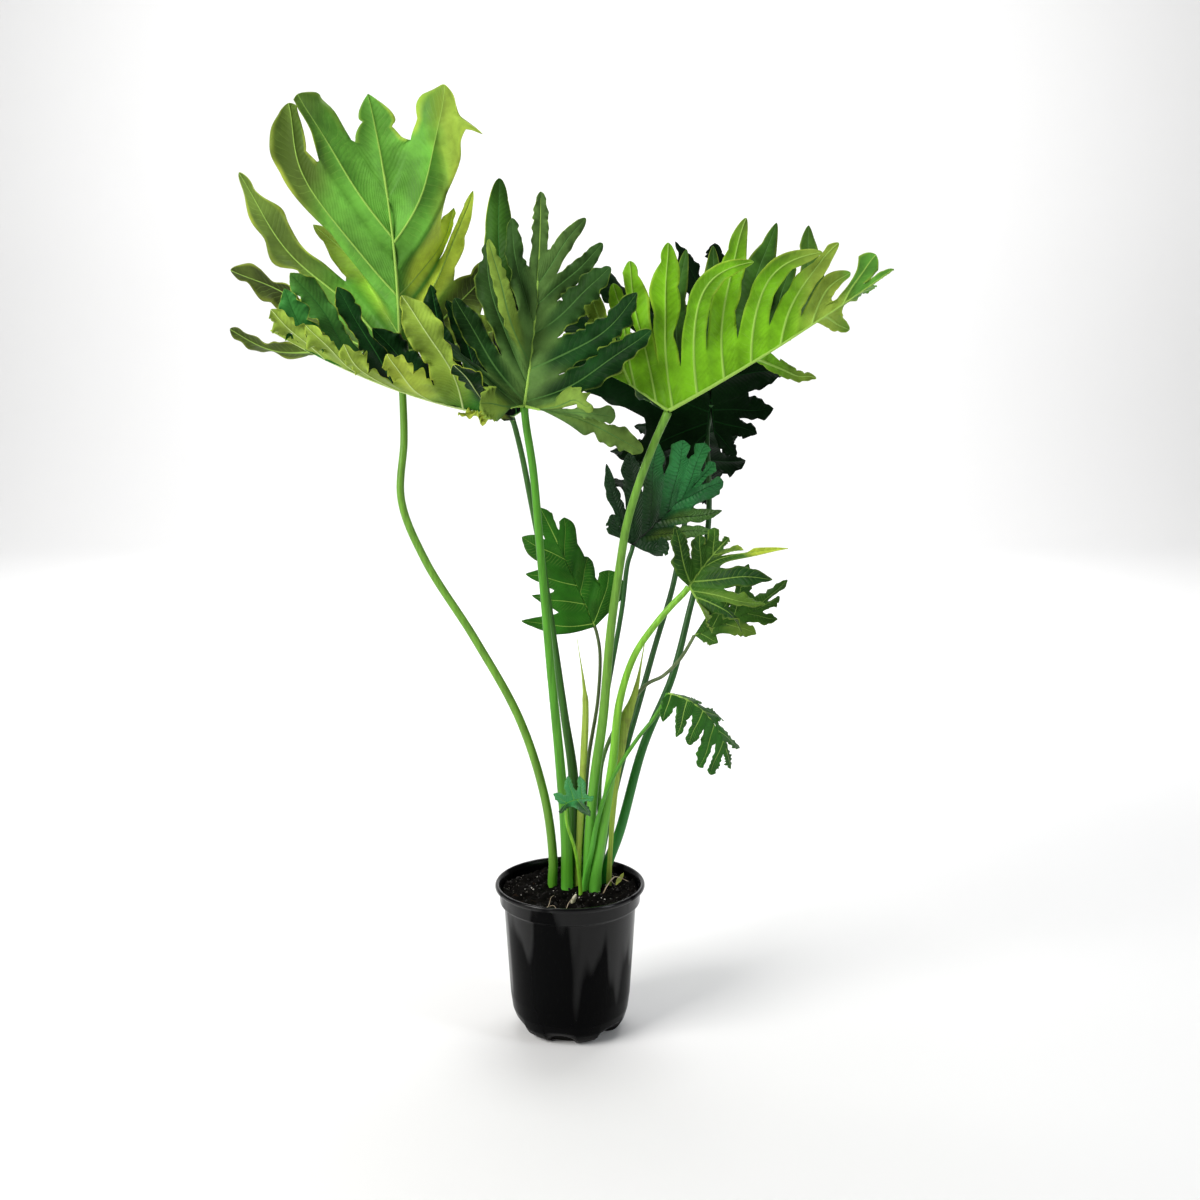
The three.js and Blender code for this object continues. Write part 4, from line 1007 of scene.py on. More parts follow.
def make_stalk(name, leaf):
    """A leaf stalk: round, narrowing by 22 %, thicker at the foot, with a shallow channel
    that deepens towards the blade, and swollen by a tenth where it meets the blade"""
    attach = np.array(leaf["attach"], float)
    last = np.array(leaf["course"][-1], float)
    top = attach + unit(last - attach) * leaf["short_by"]
    share = np.linspace(0, 1, 120)
    course = stalk_course(leaf["course"] + [top.tolist()], share)
    radius = leaf["radius"] * (1 - 0.22 * share)
    radius = radius + (leaf["foot"] - leaf["radius"]) * (1 - smooth(0.02, 0.6, share))
    radius = radius * (1 + 0.10 * np.exp(-((share - 0.985) / 0.02) ** 2))
    angle = 2 * math.pi * np.arange(20) / 20
    groove = np.exp(-((angle - math.pi / 2) / 0.5) ** 2)
    size = radius[:, None] * (1 - 0.12 * smooth(0.15, 0.6, share)[:, None] * groove[None])
    profile = np.stack([size * np.cos(angle), size * np.sin(angle)], -1)
    return long_piece(f"petiole_{name}", course, profile, share, np.abs(angle - math.pi) / math.pi)


def make_sheath(name, sheath):
    """A thin sheath: an open pipe that widens, and narrows to a point from its middle on"""
    share = np.linspace(0, 1, 90)
    course = stalk_course(sheath["course"], share)
    belly = 0.4 + 0.6 * smooth(*sheath["widens"], share)
    width = 0.5 * sheath["width"] * belly * (1 - 0.92 * smooth(0.55, 1.0, share))
    width = width * (1 + 0.05 * np.sin(40 * share))
    opening = np.linspace(-1.9, 1.9, 12)
    outer = np.stack([np.sin(opening), -np.cos(opening) * 0.55], -1)
    inner = outer[::-1] * np.array([0.92, 0.8])
    profile = width[:, None, None] * np.concatenate([outer, inner])[None]
    return long_piece(f"papery_{name}", course, profile, share, np.linspace(0, 1, profile.shape[1]))


def rounded(profile, radius, steps):
    """A profile of [radius, height, share of the rise] with each corner replaced by a
    quadratic curve that starts and ends at most that radius from it"""
    profile = np.asarray(profile, float)
    out = [profile[:1]]
    for before, here, after in zip(profile[:-2], profile[1:-1], profile[2:]):
        room = [np.linalg.norm((other - here)[:2]) for other in (before, after)]
        cut = [min(radius, 0.45 * size) / max(size, 1e-6) for size in room]
        start = here + (before - here) * cut[0]
        end = here + (after - here) * cut[1]
        t = np.linspace(0, 1, steps)[:, None]
        out.append((1 - t) ** 2 * start + 2 * t * (1 - t) * here + t ** 2 * end)
    out.append(profile[-1:])
    return np.concatenate(out)


def notch_rise(angle):
    """How far the foot is raised at an angle by the arched notches: a half ellipse"""
    turn = 2 * math.pi / NOTCH_COUNT
    offset = (angle - FIRST_NOTCH + turn / 2) % turn - turn / 2
    share = np.minimum(1, np.abs(offset) / NOTCH_HALF_ANGLE)
    return NOTCH_HEIGHT * np.sqrt(1 - share ** 2)


def turned(profile, facets):
    """A profile turned round the axis; its first and last points lie on the axis. A
    point is raised by its share of the notches' rise at its angle."""
    angle = 2 * math.pi * np.arange(facets) / facets
    height = profile[None, :, 1] + notch_rise(angle)[:, None] * profile[None, :, 2]
    points = np.stack([
        profile[None, :, 0] * np.cos(angle)[:, None],
        profile[None, :, 0] * np.sin(angle)[:, None],
        height,
    ], -1)
    points, faces, _ = welded(points.reshape(-1, 3), turned_triangles(facets, len(profile)), 1000)
    return points, faces


def make_pot():
    """The nursery pot: its outside and inside profile turned round the axis, with the
    foot scalloped by the notches"""
    step = POT_HEIGHT - COLLAR_DEPTH
    outside = [
        [0, 0, 0],
        [FLAT_FOOT_RADIUS, 0, 0],
        [FLAT_FOOT_RADIUS + 2, 0, 1],
        [FLAT_FOOT_RADIUS + 11, 3, 1],
        [BODY_FOOT_RADIUS - 11, 8.5, 0.85],
        [BODY_FOOT_RADIUS - 5.5, 17, 0.5],
        [BODY_FOOT_RADIUS - 1.4, 31, 0.15],
        [BODY_FOOT_RADIUS + 1.3, 52, 0],
        [BODY_TOP_RADIUS - 0.4, step - 9, 0],
        [BODY_TOP_RADIUS, step - 2, 0],
        [COLLAR_RADIUS - 0.6, step, 0],
        [COLLAR_RADIUS, POT_HEIGHT - 8, 0],
        [RIM_RADIUS - 1, POT_HEIGHT - 7, 0],
        [RIM_RADIUS, POT_HEIGHT - 3.5, 0],
        [RIM_RADIUS - 1.5, POT_HEIGHT - 0.2, 0],
        [RIM_RADIUS - 5, POT_HEIGHT - 0.6, 0],
        [COLLAR_RADIUS - WALL, POT_HEIGHT - 6, 0],
    ]
    inside = [
        [COLLAR_RADIUS - WALL, step + WALL, 0],
        [BODY_TOP_RADIUS - WALL, step - 2, 0],
        [BODY_FOOT_RADIUS - 2.2 * WALL, 32, 0.15],
        [BODY_FOOT_RADIUS - 8, 18, 0.5],
        [BODY_FOOT_RADIUS - 13, 10.5, 0.85],
        [FLAT_FOOT_RADIUS + 2, WALL, 1],
        [FLAT_FOOT_RADIUS, WALL, 0],
        [0, WALL, 0],
    ]
    profile = rounded(outside + inside, 2.2, 5)
    return to_mesh("nursery_pot", *turned(profile, 288))


def soil_height(x, y):
    """The soil's top: the frame's long lumps, and crumbs as a sum of 30 short sine waves
    in seeded random directions"""
    lumps = np.sin(x * 0.11 + 1) * np.cos(y * 0.13) + 0.6 * np.sin(x * 0.23 - y * 0.19)
    draw = np.random.default_rng(5)
    crumbs = np.zeros_like(x)
    for _ in range(30):
        bearing, period, phase = draw.uniform([0, 5, 0], [2 * math.pi, 16, 2 * math.pi])
        turn = 2 * math.pi / period
        crumbs += np.sin(turn * (x * math.cos(bearing) + y * math.sin(bearing)) + phase) * period / 16
    return SOIL_TOP + SOIL_LUMPS * lumps + SOIL_CRUMBS * crumbs


def make_soil():
    """The soil: a closed plug whose top is the height over a grid of rings"""
    angle = 2 * math.pi * np.arange(220) / 220
    outer = COLLAR_RADIUS - WALL - 0.6
    plug = [0, BODY_TOP_RADIUS - 8, outer - 1, outer]
    radii = np.concatenate([plug, outer * np.sqrt(np.linspace(0.96, 0, 70))])
    x = radii[None] * np.cos(angle)[:, None]
    y = radii[None] * np.sin(angle)[:, None]
    z = soil_height(x, y)
    z[:, :2] = SOIL_TOP - PLUG_DEPTH
    z[:, 2] = SOIL_TOP - PLUG_STEP
    z[:, 3] = soil_height(x[:, 3], y[:, 3]) - 1.5
    points = np.stack([x, y, z], -1)
    for pole in (0, -1):
        points[:, pole] = points[:, pole].mean(0)
    points, faces, _ = welded(points.reshape(-1, 3), turned_triangles(*z.shape), 1000)
    return to_mesh("potting_soil", points, faces)


def ball(rings, sides):
    """A small ball of radius 1: rings of points by latitude, closed at the poles"""
    lat = math.pi * np.arange(1, rings + 1) / (rings + 1)
    lon = 2 * math.pi * np.arange(sides) / sides
    body = np.stack([
        np.sin(lat)[:, None] * np.cos(lon), np.sin(lat)[:, None] * np.sin(lon),
        np.broadcast_to(np.cos(lat)[:, None], (rings, sides)),
    ], -1).reshape(-1, 3)
    points = np.concatenate([body, [[0, 0, 1], [0, 0, -1]]])
    index = np.arange(rings * sides).reshape(rings, sides)
    following = np.roll(index, -1, axis=1)
    quads = np.stack([index[:-1], index[1:], following[1:], following[:-1]], -1)
    top = np.stack([np.full(sides, rings * sides), index[0], following[0]], 1)
    low = np.stack([np.full(sides, rings * sides + 1), following[-1], index[-1]], 1)
    return points, np.concatenate([triangles_of(quads), top, low])


def scatter(draw, count):
    """Places on the soil, drawn evenly over a disc"""
    angle = draw.uniform(0, 2 * math.pi, count)
    radius = GRAIN_DISC * np.sqrt(draw.uniform(0, 1, count))
    x, y = radius * np.cos(angle), radius * np.sin(angle)
    return np.stack([x, y, soil_height(x, y)], 1)


def make_grains(name, count, sizes, seed):
    """Grains on the soil: balls squeezed by seeded random factors, each sunk in by about
    two fifths"""
    draw = np.random.default_rng(seed)
    base, faces = ball(5, 8)
    places = scatter(draw, count)
    size = draw.uniform(*sizes, count) * draw.uniform(0.6, 1.0, count)
    dents = draw.uniform(0.7, 1.15, (count, len(base), 1))
    squeeze = draw.uniform(0.6, 1.1, (count, 1, 3))
    points = base[None] * dents * squeeze * size[:, None, None] + places[:, None]
    points[..., 2] += 0.2 * size[:, None]
    shifted = faces[None] + len(base) * np.arange(count)[:, None, None]
    return to_mesh(name, points.reshape(-1, 3), shifted.reshape(-1, 3))


# Each fine root by four points: x, y and its height above the soil
ROOTS = [
    [[44, -18, 0.8], [50, -12, 9], [60, -2, 15], [78, 2, 12]],
    [[-28, -62, 0.6], [-26, -54, 5], [-24, -46, 8], [-20, -34, 3]],
    [[-4, -62, 0.6], [0, -56, 4], [6, -46, 6], [12, -34, 3]],
    [[-32, -64, 0.6], [-26, -62, 3], [-20, -66, 2.5], [-16, -72, 0.6]],
    [[66, 20, 0.5], [56, 30, 2.5], [60, 44, 2], [50, 54, 0.5]],
]


def make_roots():
    """Fine pale roots on the soil: thin round fibres along curves of four points"""
    points, faces, count = [], [], 0
    for n, course in enumerate(ROOTS):
        course = np.array(course, float)
        course[:, 2] += soil_height(course[:, 0], course[:, 1]) - 0.2
        share = np.linspace(0, 1, 30)
        radius = (0.85 if n == 0 else 0.5) * (1 - 0.6 * share)
        new, triangles = tube(centripetal(course, share), radius, 6)
        points.append(new)
        faces.append(triangles + count)
        count += len(new)
    return to_mesh("fine_roots", np.concatenate(points), np.concatenate(faces))


def make_scrap():
    """A scrap of yellow leaf on the soil: a curled strip, its width a sine of its length"""
    u, v = np.meshgrid(np.linspace(0, 1, 24), np.linspace(-1, 1, 7), indexing="ij")
    half = 3.6 * np.sin(math.pi * (0.04 + 0.92 * u)) ** 0.7
    x = 62 + 9 * u + half * v
    y = 6 + 8 * u + 0.4 * half * v
    z = soil_height(x, y) + 1.2 + 15 * u + 0.5 * np.abs(v) * half
    top = np.stack([x, y, z], -1).reshape(-1, 3)
    index = np.arange(u.size).reshape(u.shape)
    faces = triangles_of(np.stack([index[:-1, :-1], index[1:, :-1], index[1:, 1:], index[:-1, 1:]], -1))
    low = top - [0, 0, 0.4]
    count = len(top)
    walls = rim_walls(rim_edges(faces)[0], count)
    return to_mesh("leaf_scrap", np.concatenate([top, low]),
                   np.concatenate([faces, faces[:, ::-1] + count, walls]))


def make_shoot():
    """A whitish shoot tip beside the stalks: a slim cone with a rounded end"""
    share = np.linspace(0, 1, 24)
    course = centripetal([[4, -44, SOIL_TOP - 6], [5, -47, SOIL_TOP + 4], [9, -52, SOIL_TOP + 15]], share)
    radius = 3.4 * np.sqrt(np.maximum(1 - share ** 2.4, 0.004))
    return to_mesh("shoot_tip", *tube(course, radius, 14))


class Shader:
    """A material whose nodes are added one after another"""

    def __init__(self, name):
        self.material = bpy.data.materials.new(name)
        self.material.use_nodes = True
        self.tree = self.material.node_tree
        self.tree.nodes.clear()
        self.surface = self.add("ShaderNodeBsdfPrincipled")
        self.add("ShaderNodeOutputMaterial", {0: self.surface.outputs[0]})

    def add(self, kind, inputs=None, **settings):
        made = self.tree.nodes.new(kind)
        for key, value in settings.items():
            setattr(made, key, value)
        for key, value in (inputs or {}).items():
            self.feed(made.inputs[key], value)
        return made

    def feed(self, socket, value):
        """Links a socket to a node's output, or sets it to a plain value"""
        if isinstance(value, bpy.types.NodeSocket):
            self.tree.links.new(value, socket)
        else:
            socket.default_value = value

    def math(self, operation, first, second=0.0, third=0.0):
        return self.add("ShaderNodeMath", {0: first, 1: second, 2: third}, operation=operation).outputs[0]

    def times(self, first, second):
        return self.math("MULTIPLY", first, second)

    def times_plus(self, first, second, third):
        """The first times the second, plus the third"""
        return self.math("MULTIPLY_ADD", first, second, third)

    def ramp(self, value, low, high):
        """0 at low, 1 at high, with an S-curve between; low may be above high"""
        inputs = {"Value": value, "From Min": low, "From Max": high, "To Min": 0.0, "To Max": 1.0}
        return self.add("ShaderNodeMapRange", inputs, interpolation_type="SMOOTHSTEP").outputs[0]

    def noise(self, place, scale, detail=3.0, rough=0.5):
        inputs = {"Vector": place, "Scale": scale, "Detail": detail, "Roughness": rough}
        return self.add("ShaderNodeTexNoise", inputs).outputs["Fac"]

    def mix(self, share, first, second):
        """A mix of two colours; the node's sockets for colours are 6, 7 and, out, 2"""
        made = self.add("ShaderNodeMix", data_type="RGBA")
        for socket, value in ((0, share), (6, first), (7, second)):
            self.feed(made.inputs[socket], value)
        return made.outputs[2]

    def map(self, name):
        """The two numbers of one of the piece's own UV maps"""
        both = self.add("ShaderNodeSeparateXYZ", {0: self.add("ShaderNodeUVMap", uv_map=name).outputs[0]})
        return both.outputs[0], both.outputs[1]

    def place(self):
        return self.add("ShaderNodeTexCoord").outputs["Object"]

    def stretched(self, place, scale):
        """The place scaled by three numbers, which stretches a noise along an axis"""
        return self.add("ShaderNodeMapping", {"Vector": place, "Scale": scale}).outputs[0]

    def bump(self, height, strength, distance):
        inputs = {"Height": height, "Strength": strength, "Distance": distance}
        self.feed(self.surface.inputs["Normal"], self.add("ShaderNodeBump", inputs).outputs[0])

    def finish(self, color, roughness, specular=0.5):
        for key, value in (("Base Color", color), ("Roughness", roughness), ("Specular IOR Level", specular)):
            self.feed(self.surface.inputs[key], value)
        return self.material


def tone(color, factor=1.0):
    """A colour property as an opaque colour, brightened or darkened"""
    return (color[0] * factor, color[1] * factor, color[2] * factor, 1.0)


def vein_marks(shader, place, out, look):
    """How strongly the veins show, and the distance to the nearest side vein: main ribs
    and lobe ribs by their own map, and faint side veins as slanted, wavering stripes that
    leave the rib, fade before the edge and come and go in patches"""
    along, across = shader.map("Rib")
    ribs, main = shader.map("Vein")
    slanted = shader.times_plus(shader.math("ABSOLUTE", across), -look["slant"], along)
    waver = shader.times(shader.noise(place, 45.0), 0.012)
    line = shader.math("PINGPONG", shader.times(shader.math("ADD", slanted, waver), 1 / look["spacing"]), 0.5)
    patches = shader.ramp(shader.noise(place, 25.0, 1.0), 0.35, 0.6)
    side_vein = shader.times(shader.ramp(line, look["fine"], 0.0), shader.ramp(out, 0.95, 0.6))
    side_vein = shader.times(side_vein, patches)
    lobe_rib = shader.times(shader.ramp(ribs, 1.3, 0.7), look["rib"])
    strong = shader.math("MAXIMUM", lobe_rib, shader.ramp(main, 1.15, 0.8))
    return shader.math("MAXIMUM", strong, shader.times(side_vein, look["side"])), line


def tissue_color(shader, place, mottle, body, look, under):
    """The blade between its veins: mottled body colour, then each tint along its direction,
    some of which are painted light and shade, then the light or dark colour of the lobe's
    own shade, which is painted light and painted shade with some real yellowing"""
    color = shader.mix(mottle, tone(body, 0.68), tone(body, 1.25))
    for tint, direction, low, high in look["tints"] + ([] if under else look["tints_above"]):
        lean = shader.add("ShaderNodeVectorMath", {0: place, 1: direction}, operation="DOT_PRODUCT")
        uneven = shader.times_plus(shader.noise(place, 12.0, 3.0), 0.06, lean.outputs["Value"])
        tinted = shader.mix(mottle, tone(tint, 0.7), tone(tint, 1.2))
        color = shader.mix(shader.ramp(uneven, low + 0.03, high + 0.03), color, tinted)
    # Painted light and shade per lobe: the light colour above 0, the dark one below
    shade = shader.map("Shade")[0]
    for key, darkest, lightest, end in (("light", 0.75, 1.15, 1.0), ("dark", 0.6, 1.4, -1.0)):
        shaded = shader.mix(mottle, tone(look[key], darkest), tone(look[key], lightest))
        color = shader.mix(shader.ramp(shade, 0.0, end), color, shaded)
    return color


def blade_finish(name, body, margin, vein, look, under):
    """One side of a blade: its tissue, an uneven margin on the free part of each lobe, and
    its veins. They stand out below and are sunk above, the tissue swells between the side
    veins, and creases and a fine grain lie over it."""
    shader = Shader(name)
    place = shader.place()
    out, free = shader.map("Lobe")
    veins, line = vein_marks(shader, place, out, look)
    mottle = shader.ramp(shader.noise(place, 17.0, 5.0, 0.62), 0.36, 0.68)
    color = tissue_color(shader, place, mottle, body, look, under)
    patch = shader.ramp(shader.noise(place, 13.0, 3.0), 0.42, 0.62)
    rim = shader.times(shader.ramp(out, look["margin_from"], 1.0), shader.ramp(free, 0.01, 0.12))
    edge_share = shader.times(rim, shader.times_plus(patch, 0.7, 0.3))
    color = shader.mix(shader.times(edge_share, look["margin"]), color, tone(margin))
    color = shader.mix(shader.times(veins, look["vein"]), color, tone(vein))
    swell = shader.times(veins, 1.0 if under else -0.6)
    pillow = shader.times_plus(shader.ramp(line, 0.0, 0.5), look["pillow"], swell)
    height = shader.times_plus(shader.noise(place, 420.0, 2.0), 0.12, pillow)
    height = shader.times_plus(shader.noise(place, 55.0, 4.0, 0.6), look["crease"], height)
    shader.bump(height, look["bump"], 0.0013)
    return shader.finish(color, shader.times_plus(mottle, 0.12, look["rough"]), look["specular"])


def stalk_finish(name, body, foot, foot_end):
    """A stalk: satin green with fine lengthwise streaks and specks, in the foot's colour
    below, which goes up to foot_end as a share of its length"""
    shader = Shader(name)
    place = shader.place()
    run = shader.map("Run")[1]
    streaks = shader.ramp(shader.noise(shader.stretched(place, (260.0, 260.0, 9.0)), 1.0, 3.0), 0.35, 0.65)
    color = shader.mix(streaks, tone(body, 0.82), tone(body, 1.15))
    color = shader.mix(shader.times(shader.ramp(run, foot_end, 0.04), 0.9), color, tone(foot))
    specks = shader.ramp(shader.noise(place, 480.0, 1.0), 0.70, 0.78)
    color = shader.mix(shader.times(specks, 0.5), color, tone(foot, 0.6))
    shader.bump(streaks, 0.15, 0.0006)
    return shader.finish(color, 0.38, specular=0.3)


def sheath_finish(name, body):
    """Thin sheath: yellow green with fine lengthwise fibres and dry brown patches"""
    shader = Shader(name)
    fine = shader.stretched(shader.place(), (700.0, 700.0, 12.0))
    fibres = shader.ramp(shader.noise(fine, 1.0, 4.0), 0.35, 0.65)
    color = shader.mix(fibres, tone(body, 0.8), tone(body, 1.1))
    dry = shader.ramp(shader.noise(shader.place(), 60.0, 4.0), 0.55, 0.72)
    color = shader.mix(shader.times(dry, 0.3), color, tone((0.14, 0.09, 0.03)))
    shader.bump(fibres, 0.4, 0.0005)
    return shader.finish(color, 0.62)


def soil_finish(name, body):
    """Black potting soil: dark crumbs, brown bark bits and fine pale specks"""
    shader = Shader(name)
    place = shader.place()
    crumbs = shader.noise(place, 260.0, 5.0, 0.7)
    color = shader.mix(shader.ramp(crumbs, 0.35, 0.7), tone(body, 0.5), tone(body, 1.9))
    bark = shader.ramp(shader.noise(place, 130.0, 1.0), 0.66, 0.72)
    color = shader.mix(shader.times(bark, 0.7), color, tone((0.022, 0.012, 0.006)))
    cells = shader.add("ShaderNodeTexVoronoi", {"Vector": place, "Scale": 330.0})
    near = shader.ramp(cells.outputs["Distance"], 0.22, 0.12)
    few = shader.ramp(shader.noise(place, 170.0, 0.0), 0.62, 0.66)
    color = shader.mix(shader.times(near, few), color, tone((0.30, 0.28, 0.25)))
    shader.bump(crumbs, 0.9, 0.0022)
    return shader.finish(color, 0.93, specular=0.05)


def grain_finish(name, light, dark):
    """Rough mineral or bark grains: two tones by a fine noise"""
    shader = Shader(name)
    grit = shader.noise(shader.place(), 600.0, 3.0)
    shader.bump(grit, 0.5, 0.0008)
    return shader.finish(shader.mix(shader.ramp(grit, 0.4, 0.7), tone(dark), tone(light)), 0.85)


def fibre_finish(name, light, dark):
    """Roots, scrap and shoot: soft patches of two tones"""
    shader = Shader(name)
    patch = shader.noise(shader.place(), 120.0, 3.0)
    shader.bump(patch, 0.2, 0.0004)
    return shader.finish(shader.mix(shader.ramp(patch, 0.35, 0.65), tone(dark), tone(light)), 0.55)


def pot_finish(name, body, gloss):
    """Glossy black moulded plastic: faint flow marks, soft ripples, dust along the foot, and
    a sheen in tall tongues"""
    shader = Shader(name)
    place = shader.place()
    marks = shader.noise(shader.stretched(place, (30.0, 30.0, 7.0)), 1.0, 3.0)
    height = shader.add("ShaderNodeSeparateXYZ", {0: place}).outputs[2]
    dusty = shader.times(shader.ramp(height, 0.022, 0.0), shader.noise(place, 90.0, 4.0))
    color = shader.mix(shader.times(dusty, 0.10), tone(body), tone((0.25, 0.24, 0.22)))
    rough = shader.times_plus(marks, 0.14, gloss)
    rough = shader.times_plus(dusty, 0.35, rough)
    ripple = shader.times_plus(shader.noise(place, 900.0, 1.0), 0.04, marks)
    shader.bump(ripple, 0.05, 0.002)
    broad = shader.noise(shader.stretched(place, (25.0, 25.0, 3.5)), 1.0, 1.5)
    tongues = shader.ramp(shader.times_plus(height, 1.6, broad), 0.72, 0.80)
    sheen = shader.times_plus(tongues, 0.22, 0.03)
    # An export drops a linked specular level, so the socket holds an even one for it
    shader.surface.inputs["Specular IOR Level"].default_value = 0.12
    return shader.finish(color, rough, specular=sheen)


def floor_finish(name, color):
    """Plain matt studio paper"""
    return Shader(name).finish(tone(color), 0.9, specular=0.1)


def color_prop(label, words, default):
    """A colour with a name, a description and a default"""
    return FloatVectorProperty(name=label, description=words, subtype="COLOR", size=3, min=0.0, max=1.0,
                               default=default)


def power_prop(label, words, default):
    """A lamp's power in watts"""
    return FloatProperty(name=label, description=words, default=default, min=0.0, unit="POWER")


class PhilodendronLeafSettings(bpy.types.PropertyGroup):
    """The colours and the finish of the leaves"""

    fresh: color_prop("Fresh underside", "Underside of the tall bright leaf", (0.115, 0.33, 0.04))
    lime: color_prop("Lime underside", "Sunlit underside of the right leaf", (0.17, 0.43, 0.012))
    olive: color_prop("Olive", "Upper side of the tall leaf, pale leaf below", (0.10, 0.17, 0.025))
    teal: color_prop("Teal green", "Upper side of the low leaf", (0.035, 0.17, 0.03))
    jade: color_prop("Jade", "Upper side of two small dark leaves", (0.03, 0.22, 0.055))
    # Deep green is the right leaf's own upper side, and also painted shade: the dark colour of lobes with a
    # negative shade and the dark side of the mid-right leaf
    deep: color_prop("Deep green", "Upper side of the right leaf, and shaded lobes", (0.006, 0.036, 0.007))
    grey_green: color_prop("Grey green", "Both sides of the finely cut leaf", (0.085, 0.17, 0.04))
    # Night and dusk green are painted shade: near-black for the leaves in the shade behind the crown and its
    # middle; night is also the dark veins below the mid-right leaf
    night: color_prop("Night green", "The shaded leaves behind", (0.0018, 0.0045, 0.0018))
    dusk: color_prop("Dusk green", "Upper side of the shaded leaves", (0.003, 0.013, 0.003))
    mid: color_prop("Mid green", "The small lower leaves", (0.022, 0.12, 0.008))
    # Fern green is also painted shade on the right leaf's far lobes, and paints the top of the low leaf's
    # tall lobe lighter
    fern: color_prop("Fern green", "The small leaves at the right", (0.036, 0.11, 0.012))
    # Pale green is also the light colour of lobes with a positive shade, in part painted light
    pale: color_prop("Pale green", "Pale undersides and margins", (0.24, 0.36, 0.045))
    # Moss is painted shade on the tall leaf's far lobes
    moss: color_prop("Moss", "The shaded far lobes of the tall leaf", (0.05, 0.075, 0.012))
    # Butter is the hanging lobes' own yellow, made brighter as painted light
    butter: color_prop("Butter", "The hanging yellow lobes of the tall leaf", (0.75, 0.95, 0.10))
    cream: color_prop("Cream", "The ribs below the ruffled leaf", (0.62, 0.78, 0.30))
    straw: color_prop("Straw green", "Yellowed margins and lobes", (0.52, 0.64, 0.07))
    vein: color_prop("Vein", "Pale raised ribs", (0.34, 0.56, 0.10))
    dark_vein: color_prop("Dark vein", "Ribs that stand out little", (0.08, 0.19, 0.045))
    rough: FloatProperty(name="Roughness", description="Roughness of a blade", default=0.42,
                         min=0.0, max=1.0, subtype="FACTOR")
    spacing: FloatProperty(name="Side vein spacing", description="Distance of side veins in a large leaf",
                           default=0.0085, min=0.001, unit="LENGTH")


class PhilodendronStalkSettings(bpy.types.PropertyGroup):
    """The colours of the stalks and sheaths"""

    bright: color_prop("Bright stalk", "Stalks of the bright leaves", (0.13, 0.30, 0.03))
    green: color_prop("Green stalk", "Stalks in the middle, and two feet", (0.07, 0.27, 0.015))
    lime: color_prop("Lime stalk", "Stalks of the pale leaf and the young one", (0.19, 0.46, 0.03))
    emerald: color_prop("Emerald stalk", "Feet of the shaded leaves' stalks", (0.03, 0.30, 0.035))
    dark: color_prop("Dark stalk", "Stalks of the shaded and dark leaves", (0.026, 0.10, 0.02))
    vivid: color_prop("Vivid stalk", "Feet of the stalks in the light", (0.11, 0.46, 0.045))
    # Painted shade: the low leaf's stalk stands behind the others and is coloured darker
    shady: color_prop("Shady stalk", "The ruffled leaf's stalk", (0.035, 0.12, 0.015))
    muted: color_prop("Muted stalk", "Two thin stalks", (0.11, 0.16, 0.06))
    sheath: color_prop("Sheath", "Thin green sheaths", (0.36, 0.52, 0.06))


class PhilodendronSoilSettings(bpy.types.PropertyGroup):
    """The soil and what lies on it"""

    soil: color_prop("Soil", "Moist potting soil", (0.0035, 0.003, 0.0025))
    grains: IntProperty(name="White grains", description="Number of white mineral grains", default=45, min=0)
    crumbs: IntProperty(name="Bark crumbs", description="Number of loose dark crumbs", default=200, min=0)
    grain_size: FloatProperty(name="Grain size", description="Largest radius of a white grain",
                              default=0.0019, min=0.0005, unit="LENGTH")


class PhilodendronPotSettings(bpy.types.PropertyGroup):
    """The nursery pot's finish"""

    plastic: color_prop("Plastic", "Black moulded plastic", (0.0015, 0.0016, 0.0018))
    gloss: FloatProperty(name="Roughness", description="Least roughness of the plastic", default=0.16,
                         min=0.0, max=1.0, subtype="FACTOR")


class PhilodendronStageSettings(bpy.types.PropertyGroup):
    """The studio"""

    paper: color_prop("Paper", "Studio paper", (0.86, 0.86, 0.86))
    key_power: power_prop("Key light", "Power of the key light", 130.0)
    fill_power: power_prop("Fill light", "Power of the fill light", 22.0)
    top_power: power_prop("Top light", "Power of the light from above", 45.0)
    wall_power: power_prop("Backdrop light", "Power of the light on the backdrop", 140.0)
    sky: FloatProperty(name="Ambient", description="Strength of the even light from all sides",
                       default=0.2, min=0.0)


# How a blade's finish goes unless its leaf says otherwise: the side veins' slant, width
# and strength, the strength of lobe ribs, all veins and margin, where the margin starts,
# the relief of the tissue between side veins, of creases and of all, the gloss, and the
# colours that a lobe's shade mixes in as painted light and painted shade
BLADE_LOOK = {
    "slant": 0.9, "fine": 0.07, "side": 0.3, "rib": 0.85, "vein": 0.9,
    "margin": 0.4, "margin_from": 0.72, "pillow": 0.3, "crease": 0.8, "bump": 0.5,
    "specular": 0.09, "light": "pale", "dark": "deep", "tints": (), "tints_above": (),
}

